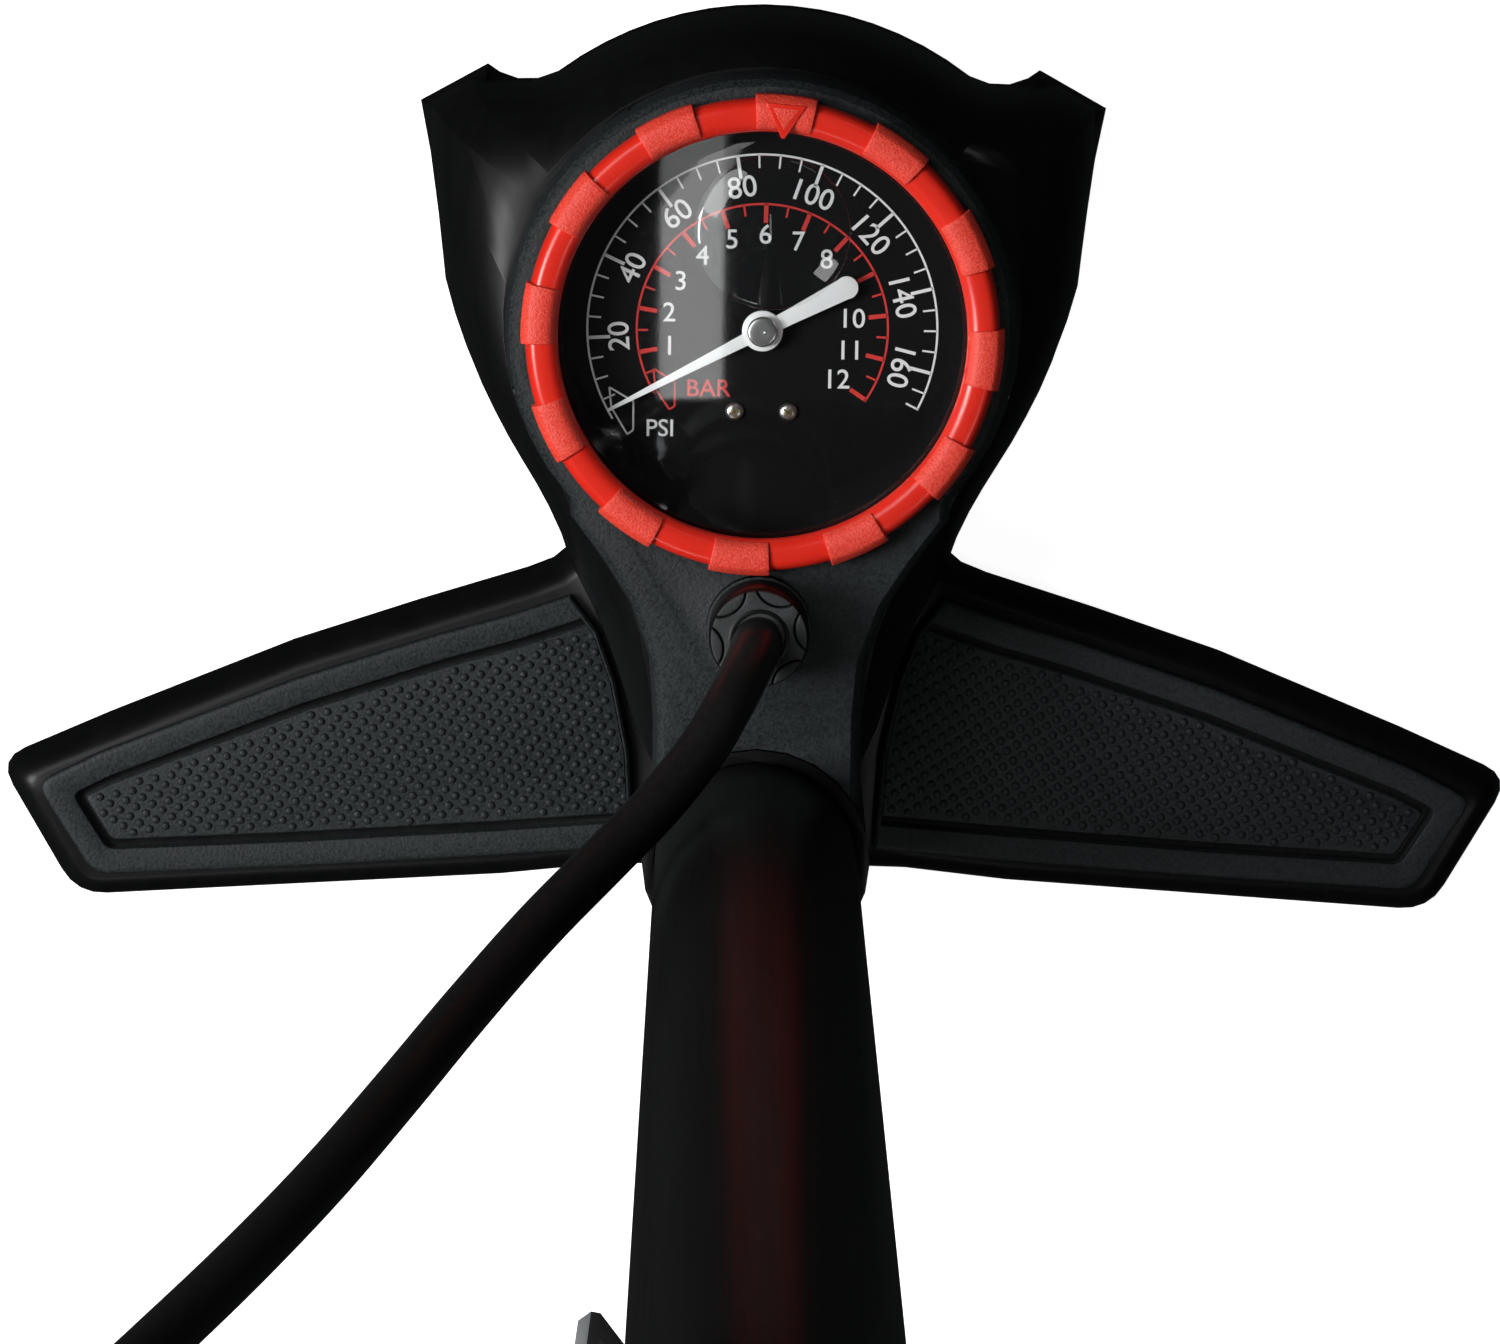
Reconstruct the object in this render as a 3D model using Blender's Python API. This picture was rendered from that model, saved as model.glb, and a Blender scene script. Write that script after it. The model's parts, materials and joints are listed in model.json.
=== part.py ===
"""Floor bike pump with a base gauge: every piece is its own closed solid.

Sizes are in millimetres and solid() turns them into metres. The origin is on the barrel's axis at
floor level, +Z runs up the barrel, +Y points from the barrel to the gauge and +X is the user's right.
"""
import math

import bmesh
import bpy
from mathutils import Matrix, Vector

MM = 0.001
GAP = 0.3                    # clearance between neighbouring pieces

# Base
FOOT_Z = 0.0                 # underside of the rubber feet
BASE_Z = 1.0                 # underside of the moulded base
PEDAL_TOP = 12.0
MOUND_TOP = 46.0
HOUSING_TOP = 58.0
SOCKET_R = 21.5
SOCKET_TOP = 58.0
CAVITY_TOP = 31.0
TIP_START = 128.5            # outline points further out than this are a pedal's tip corners
SCREW_PLACES = [(-45.0, 88.0), (45.0, 88.0), (-24.0, 139.5), (24.0, 139.5)]
FOOT_SIZES = {"left": (-112.0, 1.0, 6.0), "right": (112.0, 1.0, 6.0),
              "front_left": (-61.5, 130.0, 1.9), "front_right": (61.5, 130.0, 1.9)}

# Gauge
GAUGE_Y = 100.0
CAN_R = 41.0
CAN_FLOOR = 34.5
DIAL_Z = 50.0
NEEDLE_Z = 53.0
STEM_Y = 72.0                # the gauge's inlet
STEM_FOOT = 23.4
BEZEL_Z = HOUSING_TOP + GAP
BEZEL_R = 43.9
BEZEL_MOUTH = 37.8           # inner radius of its lip
LUG_COUNT = 12
LUG_HALF = 7.4               # degrees
LUG_TURN = -5.0              # degrees; the lug with the pointer stands a little clockwise of +Y
PINION_TEETH = 10
SECTOR_TEETH = 60            # on a full circle
GEAR_MODULE = 0.5
SECTOR_START = -20.0         # degrees from the middle of its swing
PINION_START = 120.0         # degrees; puts a gap over the sector tooth it meets
GEAR_Z = 47.2

# Barrel, rod and handle
BARREL_R = 19.0
BARREL_WALL = 1.5
BARREL_FOOT = 20.0 + GAP
BARREL_TOP = 545.0
ROD_R = 5.0
PISTON_Z = 37.0
CAP_TOP = 562.0
HANDLE_Z = 594.0
GRIP_START = 26.0
GRIP_END = 128.0

# Hose, nut and head
NUT_Y = 45.0
HOSE_R = 4.6
HEAD = (-31.0, 13.0)         # the parked head's axis
HEAD_Z = 462.0               # its mouth
LEVER_DIR = (0.8, 0.6)       # the side of the head that the lever lies on
PIVOT_X = 12.5               # the lever's pin, from the head's axis
PIVOT_Z = 494.0
HOSE_ROUTE = [
    (0, 45, 63), (-0.2, 44.7, 70.2), (-1.2, 42.9, 77.6), (-3.4, 39.3, 84.7), (-6.3, 34.8, 90.8),
    (-10.2, 29.2, 96.4), (-17.8, 21, 105.2), (-27, 13.2, 116), (-38.5, 4.4, 133), (-50, -5, 155),
    (-60.2, -13, 180), (-70.8, -21, 205), (-82.5, -29, 228), (-95, -36.6, 251), (-106.3, -41.9, 278),
    (-114, -44, 312), (-118, -42.3, 350), (-118, -38.6, 390), (-115.2, -34, 430), (-111, -30, 470),
    (-109.1, -28.7, 504.5), (-103.9, -25.9, 525.1), (-90.8, -18.9, 540.6), (-72.8, -9.3, 547.2),
    (-54.2, 0.6, 543.5), (-39.3, 8.6, 530.3), (-31.9, 12.5, 512.2), (-31, 13, 501.5), (-31, 13, 495),
]


# ---------------------------------------------------------------- helpers
def remove_everything():
    for old in list(bpy.data.objects):
        bpy.data.objects.remove(old, do_unlink=True)


def material(name, color, roughness, metallic=0.0):
    mat = bpy.data.materials.get(name)
    if mat is None:
        mat = bpy.data.materials.new(name)
        mat.use_nodes = True
        shader = mat.node_tree.nodes["Principled BSDF"]
        shader.inputs["Base Color"].default_value = (*color, 1.0)
        shader.inputs["Roughness"].default_value = roughness
        shader.inputs["Metallic"].default_value = metallic
    return mat


def gloss_black():
    return material("gloss_black", (0.012, 0.012, 0.013), 0.12)


def satin_grey():
    return material("satin_grey", (0.045, 0.048, 0.05), 0.55)


def red_plastic():
    return material("red_plastic", (0.75, 0.035, 0.02), 0.3)


def rubber():
    return material("rubber", (0.02, 0.02, 0.02), 0.6)


def steel():
    return material("steel", (0.62, 0.62, 0.62), 0.25, 1.0)


def brass():
    return material("brass", (0.72, 0.52, 0.2), 0.3, 1.0)


def white_enamel():
    return material("white_enamel", (0.9, 0.9, 0.9), 0.35)


def clear():
    return material("clear", (0.95, 0.97, 0.98), 0.02)


def bronze():
    return material("bronze", (0.55, 0.36, 0.16), 0.4, 1.0)


def solid(name, mesh, mat, at=(0, 0, 0), turn=None):
    """An object from a bmesh in millimetres, placed at a point with an optional rotation matrix."""
    bmesh.ops.scale(mesh, vec=(MM, MM, MM), verts=mesh.verts)
    bmesh.ops.recalc_face_normals(mesh, faces=mesh.faces)
    data = bpy.data.meshes.new(name)
    mesh.to_mesh(data)
    mesh.free()
    data.shade_smooth()
    data.set_sharp_from_angle(angle=math.radians(35))
    piece = bpy.data.objects.new(name, data)
    bpy.context.scene.collection.objects.link(piece)
    place = Matrix.Translation(Vector(at) * MM)
    piece.matrix_world = place @ turn.to_4x4() if turn else place
    if mat:
        data.materials.append(mat)
    return piece


def cut(piece, *cutters, operation="DIFFERENCE"):
    """Boolean a piece with others, which stay as hidden wire guides."""
    for cutter in cutters:
        cutter.display_type = "WIRE"
        cutter.hide_render = True
        step = piece.modifiers.new(cutter.name, "BOOLEAN")
        step.operation = operation
        step.solver = "EXACT"
        step.object = cutter


def loft(rings, closed=False):
    """Quads between rings of equal length; open stacks get flat ends, closed ones meet themselves."""
    mesh = bmesh.new()
    rows = [[mesh.verts.new(p) for p in ring] for ring in rings]
    pairs = list(zip(rows, rows[1:]))
    if closed:
        pairs.append((rows[-1], rows[0]))
    for low, high in pairs:
        for i in range(len(low)):
            j = (i + 1) % len(low)
            mesh.faces.new((low[i], low[j], high[j], high[i]))
    if not closed:
        mesh.faces.new(rows[0][::-1])
        mesh.faces.new(rows[-1])
    return mesh


def ring(radius, z, segments):
    return [Vector((radius * math.cos(math.tau * i / segments),
                    radius * math.sin(math.tau * i / segments), z)) for i in range(segments)]


def turned(profile, segments=32, closed=False):
    """A turned shape about Z from (radius, z) points; closed profiles make tubes and rings."""
    return loft([ring(r, z, segments) for r, z in profile], closed)


def rod(radius, z0, z1, segments=24):
    return turned([(radius, z0), (radius, z1)], segments)


def tube(outer, inner, z0, z1, segments=32):
    return turned([(outer, z0), (outer, z1), (inner, z1), (inner, z0)], segments, closed=True)


def prism(outline, z0, z1):
    return loft([[Vector((x, y, z)) for x, y in outline] for z in (z0, z1)])


def block(low, high):
    return prism([(low[0], low[1]), (high[0], low[1]), (high[0], high[1]), (low[0], high[1])],
                 low[2], high[2])


def join(meshes):
    """One bmesh from several that don't touch."""
    whole = bmesh.new()
    for mesh in meshes:
        data = bpy.data.meshes.new("part")
        mesh.to_mesh(data)
        mesh.free()
        whole.from_mesh(data)
        bpy.data.meshes.remove(data)
    return whole


def moved(mesh, at):
    bmesh.ops.translate(mesh, vec=at, verts=mesh.verts)
    return mesh


def inset(outline, distance):
    """An anticlockwise outline drawn in by a distance, mitred at its corners."""
    drawn = []
    for i, here in enumerate(outline):
        before = Vector(outline[i - 1])
        here = Vector(here)
        after = Vector(outline[(i + 1) % len(outline)])
        one = (here - before).normalized()
        two = (after - here).normalized()
        side = Vector((-one.y - two.y, one.x + two.x)).normalized()
        reach = min(1.6, 1.0 / max(0.3, side.dot(Vector((-one.y, one.x)))))
        drawn.append(tuple(here + side * distance * reach))
    return drawn


def smooth(points, steps):
    """Catmull-Rom points along an open path."""
    ends = [2 * Vector(points[0]) - Vector(points[1])]
    path = ends + [Vector(p) for p in points] + [2 * Vector(points[-1]) - Vector(points[-2])]
    out = []
    for i in range(1, len(path) - 2):
        a, b, c, d = path[i - 1:i + 3]
        for k in range(steps):
            t = k / steps
            out.append(0.5 * (2 * b + (c - a) * t + (2 * a - 5 * b + 4 * c - d) * t * t
                              + (3 * b - a - 3 * c + d) * t ** 3))
    out.append(path[-2])
    return out


def arc(center, radius, start, end, steps):
    """Points on an arc, angles in degrees."""
    return [(center[0] + radius * math.cos(math.radians(start + (end - start) * i / steps)),
             center[1] + radius * math.sin(math.radians(start + (end - start) * i / steps)))
            for i in range(steps + 1)]


def both_sides(half):
    """A closed anticlockwise outline from its right half, listed from the rear to the front."""
    left = [(-x, y) for x, y in reversed(half) if abs(x) > 1e-6]
    return half + left


def pipe(name, points, radius, mat, sides=2):
    """A round rod along a path, with filled ends."""
    curve = bpy.data.curves.new(name, "CURVE")
    curve.dimensions = "3D"
    curve.bevel_depth = radius * MM
    curve.bevel_resolution = sides
    curve.use_fill_caps = True
    spline = curve.splines.new("POLY")
    spline.points.add(len(points) - 1)
    for point, place in zip(spline.points, points):
        point.co = (*(Vector(place) * MM), 1.0)
    piece = bpy.data.objects.new(name, curve)
    bpy.context.scene.collection.objects.link(piece)
    curve.materials.append(mat)
    return piece


# ---------------------------------------------------------------- outlines
def eased(before, corner, after, reach):
    """Points of a rounded corner that starts and ends at a reach from the sharp one."""
    before, corner, after = Vector(before), Vector(corner), Vector(after)
    start = corner + (before - corner).normalized() * reach
    end = corner + (after - corner).normalized() * reach
    steps = [i / 4 for i in range(5)]
    return [tuple(start * (1 - t) ** 2 + corner * 2 * t * (1 - t) + end * t * t) for t in steps]


def drawn_in(outline, distance, tip_reach):
    """An outline drawn in by a distance, with the two corners of each pedal's tip rounded."""
    sharp = inset(outline, distance)
    out = []
    for i, here in enumerate(sharp):
        if abs(outline[i][0]) > TIP_START:
            out += eased(sharp[i - 1], here, sharp[(i + 1) % len(sharp)], tip_reach)
        else:
            out.append(here)
    return out


def front_half():
    """Right side of the front skirt, from its waist round the ear to the front of the dome."""
    waist = [(37.4, 51.0), (38.0, 54.6), (40.4, 60.4), (45.0, 68.6), (50.0, 77.0), (54.3, 85.0),
             (58.7, 95.0), (61.6, 105.0), (62.8, 116.0), (64.4, 128.0), (66.3, 138.0)]
    notch = [(53.3, 145.2), (51.0, 143.6), (47.5, 142.4), (43.6, 142.5)]
    return waist + notch + arc((0, 91.2), 66.0, 53, 90, 8)


def base_outline():
    pedal = [(21.0, -12.6), (30.0, -12.8), (50.0, -15.0), (90.0, -17.5), (120.0, -19.4), (134.2, -20.3),
             (149.6, 7.0), (127.0, 17.0), (91.0, 31.8), (66.0, 40.2), (45.0, 46.8), (40.0, 48.8)]
    rear = arc((0, 0), 23.0, -90, -50, 4)
    return both_sides(rear + pedal + front_half())


def housing_outline():
    """Round the gauge, then in to a neck that ends at the barrel."""
    neck = [(19.7, 6.0), (19.7, 28.0), (20.6, 38.0), (24.2, 48.2), (29.5, 56.5), (35.5, 64.5)]
    return both_sides([(0, 6.0)] + neck + arc((0, GAUGE_Y), 48.0, -42, 90, 16))


def pad_outline():
    """Top plate of the right pedal."""
    return [(23.5, -6.9), (50.0, -9.0), (90.0, -11.7), (129.6, -13.8), (140.8, 4.4), (128.0, 10.8),
            (90.0, 25.8), (62.0, 35.0), (48.0, 39.0), (36.4, 43.0), (31.0, 36.0), (27.4, 26.0),
            (24.6, 12.0)]


def ray_ring(outline, center, count):
    """Where rays from a center meet an outline, at even angles."""
    hits = []
    for i in range(count):
        angle = math.tau * i / count
        way = Vector((math.cos(angle), math.sin(angle)))
        best = 0.0
        for j, a in enumerate(outline):
            a = Vector(a) - Vector(center)
            b = Vector(outline[(j + 1) % len(outline)]) - Vector(center)
            edge = b - a
            cross = way.x * edge.y - way.y * edge.x
            if abs(cross) < 1e-9:
                continue
            along = (a.x * edge.y - a.y * edge.x) / cross
            part = (a.x * way.y - a.y * way.x) / cross
            if along > 0 and -1e-6 <= part <= 1 + 1e-6:
                best = max(best, along)
        hits.append(best)
    return hits


# ---------------------------------------------------------------- base
def make_base():
    outline = base_outline()
    slab = loft([[Vector((x, y, z)) for x, y in drawn_in(outline, drawn, 6.0 - 0.5 * drawn)]
                 for z, drawn in ((BASE_Z, 1.2), (3.0, 0.0), (9.0, 1.8), (11.2, 3.4), (PEDAL_TOP, 5.2))])
    base = solid("base_body", slab, gloss_black())
    center = (0, 92.0)
    count = 60
    skirt = ray_ring(both_sides([(0, 10.0), (22.0, 12.0), (30.0, 36.0)] + front_half()), center, count)
    crown = ray_ring(housing_outline(), center, count)
    rings = []
    for z, blend in ((6.0, 0.03), (16.0, 0.06), (30.0, 0.2), (38.0, 0.4), (43.0, 0.66), (MOUND_TOP, 0.95)):
        rings.append([])
        for i in range(count):
            reach = skirt[i] + (crown[i] - skirt[i]) * blend
            angle = math.tau * i / count
            rings[-1].append(Vector((center[0] + reach * math.cos(angle),
                                     center[1] + reach * math.sin(angle), z)))
    mound = solid("mound", loft(rings), None)
    socket = solid("socket", rod(SOCKET_R, 2.0, SOCKET_TOP, 24), None)
    cut(base, socket, mound, operation="UNION")

    cavity = [(20.0, 30.0), (27.0, 46.0), (35.0, 60.0), (43.0, 74.0), (49.0, 86.0), (54.0, 98.0),
              (57.0, 112.0), (59.0, 128.0), (60.0, 133.0), (53.0, 138.0), (40.0, 138.5),
              (28.0, 147.0), (14.0, 151.6)]
    cavity = both_sides([(0, 30.0)] + cavity + [(0, 153.0)])
    hollow = solid("front_hollow", loft([[Vector((x, y, z)) for x, y in inset(cavity, drawn)]
                                         for z, drawn in ((-1.0, 0.0), (CAVITY_TOP, 4.0))]), None)
    ribs = [block((side * 27 - 1.2, 20, -3), (side * 27 + 1.2, 160, 8)) for side in (-1, 1)]
    bars = [block((-70 + i * 45.0, 100 - 1.2, -3), (-30 + i * 45.0, 100 + 1.2, 8)) for i in (0, 2)]
    cut(hollow, solid("front_ribs", join(ribs), None), solid("side_ribs", join(bars), None))
    hollows = [hollow]
    for side, label in ((1, "right"), (-1, "left")):
        pocket = [(30.0, -7.5), (50.0, -9.0), (90.0, -11.6), (118.0, -13.6), (130.0, -13.6), (141.0, 4.0),
                  (125.0, 12.0), (91.0, 25.4), (66.0, 33.6), (49.0, 38.6), (36.0, 31.0)]
        if side < 0:
            pocket = [(-x, y) for x, y in reversed(pocket)]
        space = solid("hollow_" + label, prism(pocket, -1.0, 8.8), None)
        walls = [block((side * x - 1.2, -30, -3), (side * x + 1.2, 50, 10)) for x in (58, 84)]
        walls.append(block((side * 112 - 10, -6, -3), (side * 112 + 10, 8, 10)))
        cut(space, solid("ribs_" + label, join(walls), None))
        hollows.append(space)
    cut(base, *hollows)

    can_seat = moved(rod(CAN_R + GAP, CAN_FLOOR - GAP, 70, 32), (0, GAUGE_Y, 0))
    stem_hole = moved(rod(4.0, 20, 40, 10), (0, STEM_Y, 0))
    bores = [solid("can_seat", can_seat, None), solid("stem_hole", stem_hole, None),
             solid("barb_hole", moved(rod(3.8, 20, 60, 10), (0, NUT_Y, 0)), None),
             solid("barrel_bore", rod(BARREL_R + GAP, 20, 70, 24), None),
             solid("valve_bore", rod(9.3, 5, 22, 16), None),
             solid("pipe_hole", loft([[Vector((2.6 * math.cos(math.tau * i / 8), y,
                                               11.4 + 2.6 * math.sin(math.tau * i / 8)))
                                       for i in range(8)] for y in (4, 32)]), None),
             solid("foot_seat", rod(13.0 + GAP, -1, 2.6, 24), None)]
    screws = [moved(rod(1.7, 22, 50, 8), (x, y, 0)) for x, y in SCREW_PLACES]
    heads = [moved(rod(3.4, 22, 28, 8), (x, y, 0)) for x, y in SCREW_PLACES]
    cut(base, *bores, solid("screw_holes", join(screws), None), solid("head_holes", join(heads), None))
    return base


def make_feet():
    """Rubber pads: one under the barrel, one at each pedal and one under each ear."""
    solid("foot_pad_center", rod(13.0, FOOT_Z, 2.6 - GAP, 24), rubber())
    for label, (x, y, radius) in FOOT_SIZES.items():
        solid("foot_pad_" + label, rod(radius, FOOT_Z, BASE_Z - 0.02, 16), rubber(), at=(x, y, 0))


def make_pedal_pads():
    for side, label in ((1, "right"), (-1, "left")):
        outline = pad_outline()
        if side < 0:
            outline = [(-x, y) for x, y in reversed(outline)]
        steps = ((PEDAL_TOP + GAP, 0.0), (13.6, 0.0), (14.3, 0.8), (14.3, 5.4), (13.4, 5.9))
        plate = loft([[Vector((x, y, z)) for x, y in drawn_in(outline, drawn, 3.4 - 0.3 * drawn)]
                      for z, drawn in steps])
        solid("pedal_pad_" + label, plate, satin_grey())


def make_housing():
    outline = housing_outline()
    steps = ((MOUND_TOP + GAP, 0.2), (50.0, 0.0), (56.6, 0.9), (HOUSING_TOP, 2.2))
    shell = loft([[Vector((x, y, z)) for x, y in inset(outline, drawn)] for z, drawn in steps])
    housing = solid("gauge_housing", shell, satin_grey())
    boss = moved(rod(9.8, 50, 60.0, 24), (0, NUT_Y, 0))
    cut(housing, solid("nut_boss", boss, None), operation="UNION")
    well = moved(rod(CAN_R + GAP, 40, 70, 32), (0, GAUGE_Y, 0))
    saddle = rod(SOCKET_R + GAP, 40, 70, 24)
    barb = moved(rod(3.8, 40, 70, 10), (0, NUT_Y, 0))
    pilots = join([moved(rod(1.7, 40, 52, 8), (x, y, 0)) for x, y in SCREW_PLACES])
    cut(housing, solid("well", well, None), solid("saddle", saddle, None),
        solid("barb_bore", barb, None), solid("pilots", pilots, None))


def make_housing_screws():
    for i, (x, y) in enumerate(SCREW_PLACES):
        shape = turned([(3.0, 25.0), (3.0, 27.4), (1.3, 27.6), (1.3, 50.5)], 12)
        solid(f"housing_screw_{i + 1}", shape, steel(), at=(x, y, 0))


# ---------------------------------------------------------------- gauge
def wedge(section, start, end, steps=3):
    """A section of (radius, z) points swept round Z between two angles in degrees."""
    rings = []
    for i in range(steps + 1):
        angle = math.radians(start + (end - start) * i / steps)
        rings.append([Vector((r * math.cos(angle), r * math.sin(angle), z)) for r, z in section])
    return loft(rings)


def make_gauge_case():
    at = (0, GAUGE_Y, 0)
    can = turned([(CAN_R, CAN_FLOOR), (CAN_R, 56.4), (CAN_R - 1.2, 56.4), (CAN_R - 1.2, CAN_FLOOR + 1.2),
                  (2.0, CAN_FLOOR + 1.2), (2.0, CAN_FLOOR)], 24, closed=True)
    can = solid("gauge_can", can, steel(), at)
    cut(can, solid("can_hole", moved(rod(3.6, 30, 40, 10), (0, STEM_Y, 0)), None))
    stem = turned([(3.2, STEM_FOOT), (3.2, CAN_FLOOR + 1.5), (5.0, CAN_FLOOR + 1.6), (5.0, 44.6)], 16)
    solid("gauge_stem", stem, brass(), at=(0, STEM_Y, 0))


def make_bourdon_tube():
    """A flat bronze tube bent almost round the case, closed at its free end."""
    radius, start, end, steps = 31.0, -73.0, 190.0, 30
    rings = []
    for i in range(steps + 1):
        angle = math.radians(start + (end - start) * i / steps)
        rings.append([Vector(((radius + a) * math.cos(angle), (radius + a) * math.sin(angle), z))
                      for a, z in ((-1.2, 37.4), (1.2, 37.4), (1.6, 40.0), (1.2, 42.6), (-1.2, 42.6),
                                   (-1.6, 40.0))])
    solid("bourdon_tube", loft(rings), bronze(), at=(0, GAUGE_Y, 0))


def gear_outline(teeth, count, start):
    """Thin straight-sided teeth for a running mesh; count of them from a start angle in degrees."""
    pitch_r = GEAR_MODULE * teeth / 2
    tip, root = pitch_r + 0.38, pitch_r - 0.56
    step = 360.0 / teeth
    points = []
    for i in range(count):
        middle = start + i * step
        for r, share in ((root, -0.22), (tip, -0.1), (tip, 0.1), (root, 0.22)):
            angle = math.radians(middle + share * step)
            points.append((r * math.cos(angle), r * math.sin(angle)))
    return points


def make_movement():
    """Plate on two legs, the sector that the tube pulls and the pinion that carries the needle."""
    at = (0, GAUGE_Y, 0)
    centers = GEAR_MODULE * (PINION_TEETH + SECTOR_TEETH) / 2
    plate = [(-9, -12), (9, -12), (9, centers + 8), (-9, centers + 8)]
    movement = solid("movement_plate", prism(plate, 44.8, 46.2), brass(), at)
    legs = join([moved(rod(2.2, CAN_FLOOR + 1.5, 45.5, 8), (x, y, 0)) for x, y in
                 ((-6, -9), (6, -9), (-6, centers + 5), (6, centers + 5))])
    cut(movement, solid("plate_legs", legs, None, at), operation="UNION")
    holes = join([rod(1.0, 40, 50, 16), moved(rod(1.3, 40, 50, 10), (0, centers, 0))])
    cut(movement, solid("plate_holes", holes, None, at))

    pinion = solid("pinion_arbor", prism(gear_outline(PINION_TEETH, PINION_TEETH, PINION_START),
                                         GEAR_Z, GEAR_Z + 1.4), brass(), at)
    cut(pinion, solid("arbor", rod(0.9, 44.0, NEEDLE_Z - GAP, 16), None, at), operation="UNION")

    half = 30.0
    count = int(2 * half / (360.0 / SECTOR_TEETH)) + 1
    teeth = gear_outline(SECTOR_TEETH, count, -90.0 - half)
    fan = teeth + [(5.5, -3.0), (2.6, 2.2), (-2.6, 2.2), (-5.5, -3.0)]
    turn = Matrix.Rotation(math.radians(SECTOR_START), 3, "Z")
    place = (0, GAUGE_Y + centers, 0)
    sector = solid("sector_gear", prism(fan, GEAR_Z, GEAR_Z + 1.2), brass(), place, turn)
    cut(sector, solid("sector_arbor", rod(1.2, 44.0, 49.2, 16), None, place), operation="UNION")


def make_dial():
    at = (0, GAUGE_Y, 0)
    dial = solid("gauge_dial", rod(CAN_R - 1.6, DIAL_Z, DIAL_Z + 0.8, 24), gloss_black(), at)
    holes = join([rod(1.6, 45, 55, 16)] + [moved(rod(1.3, 45, 55, 8), (x, -15.4, 0)) for x in (-5, 5)])
    cut(dial, solid("dial_holes", holes, None, at))
    for label, x in (("left", -5.0), ("right", 5.0)):
        screw = turned([(1.0, 47.0), (1.0, 50.9), (1.7, 51.1), (1.7, 51.5), (1.1, 51.9)], 12)
        solid("dial_screw_" + label, screw, steel(), at=(x, GAUGE_Y - 15.4, 0))


def make_needle():
    """The needle rests at zero, 118 degrees anticlockwise of the top of the dial."""
    blade = [(-1.1, -1.6), (-1.1, 1.6), (-0.25, 32.5), (0.25, 32.5), (1.1, 1.6), (1.1, -1.6), (1.9, -15.0)]
    blade += arc((0, -18.0), 2.1, 10, -190, 8) + [(-1.9, -15.0)]
    turn = Matrix.Rotation(math.radians(118), 3, "Z")
    at = (0, GAUGE_Y, 0)
    needle = solid("needle", prism(blade, NEEDLE_Z, NEEDLE_Z + 0.5), white_enamel(), at, turn)
    cut(needle, solid("needle_disc", rod(3.8, NEEDLE_Z - 0.1, NEEDLE_Z + 0.6, 24), None, at),
        operation="UNION")
    cap = turned([(2.8, NEEDLE_Z + 0.9), (2.8, NEEDLE_Z + 2.0), (2.4, NEEDLE_Z + 2.3)], 16)
    solid("needle_hub", cap, steel(), at)


def make_bezel():
    at = (0, GAUGE_Y, 0)
    z = BEZEL_Z
    profile = [(41.3, z), (43.4, z), (BEZEL_R, z + 2.0), (43.2, z + 4.4), (42.0, z + 5.2), (39.8, z + 5.2),
               (38.2, z + 4.2), (BEZEL_MOUTH, z + 3.2), (BEZEL_MOUTH, z + 2.3), (41.3, z + 2.3)]
    bezel = solid("bezel_ring", turned(profile, 48, closed=True), red_plastic(), at)
    lug = [(42.0, z + 0.6), (44.7, z + 0.6), (44.7, z + 3.8), (43.4, z + 5.9), (40.0, z + 5.9),
           (38.7, z + 5.1), (38.5, z + 3.8), (42.0, z + 3.4)]
    lugs = []
    for i in range(LUG_COUNT):
        middle = 90.0 + LUG_TURN + 360.0 / LUG_COUNT * i
        lugs.append(wedge(lug, middle - LUG_HALF, middle + LUG_HALF, 2))
    cut(bezel, solid("bezel_lugs", join(lugs), None, at), operation="UNION")

    window = solid("gauge_window", rod(41.0, z + 0.2, z + 1.7, 32), clear(), at)
    dome = [(13.6 * math.cos(math.radians(a)), z + 1.2 + 3.6 * math.sin(math.radians(a)))
            for a in (0, 18, 36, 54, 72)]
    lens = moved(turned([(13.6, z + 0.8)] + dome, 24), (1.6, 19.2, 0))
    cut(window, solid("loupe", lens, None, at), operation="UNION")


# ---------------------------------------------------------------- air path
def make_air_path():
    valve = turned([(9.0, 5.3), (9.0, 19.6), (3.2, 19.6), (3.2, 14.0), (5.4, 14.0), (5.4, 8.0),
                    (1.6, 8.0), (1.6, 5.3)], 16, closed=True)
    valve = solid("foot_valve_body", valve, brass())
    side = loft([[Vector((1.8 * math.cos(math.tau * i / 8), y, 11.4 + 1.8 * math.sin(math.tau * i / 8)))
                  for i in range(8)] for y in (4, 12)])
    cut(valve, solid("valve_outlet", side, None))
    solid("check_valve_disc", turned([(4.6, 12.2), (4.6, 13.7)], 16), rubber())
    coils, wire, steps = 3.5, 0.35, 9
    points = []
    for i in range(int(coils * steps) + 1):
        angle = math.tau * i / steps
        points.append((3.4 * math.cos(angle), 3.4 * math.sin(angle),
                       8.5 + 3.2 * i / (coils * steps)))
    pipe("check_valve_spring", points, wire, steel(), sides=0)
    route = smooth([(0, 9.8, 11.4), (0, 20, 11.4), (0, 45, 11.4), (0, 62, 11.6), (0, 70, 14), (0, 72, 22.9)],
                   4)
    pipe("air_pipe", route, 1.9, rubber(), sides=1)
    barb = turned([(3.4, 13.7), (3.4, 60.0), (3.4, 61.9)], 16)
    solid("hose_barb", barb, brass(), at=(0, NUT_Y, 0))


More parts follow.
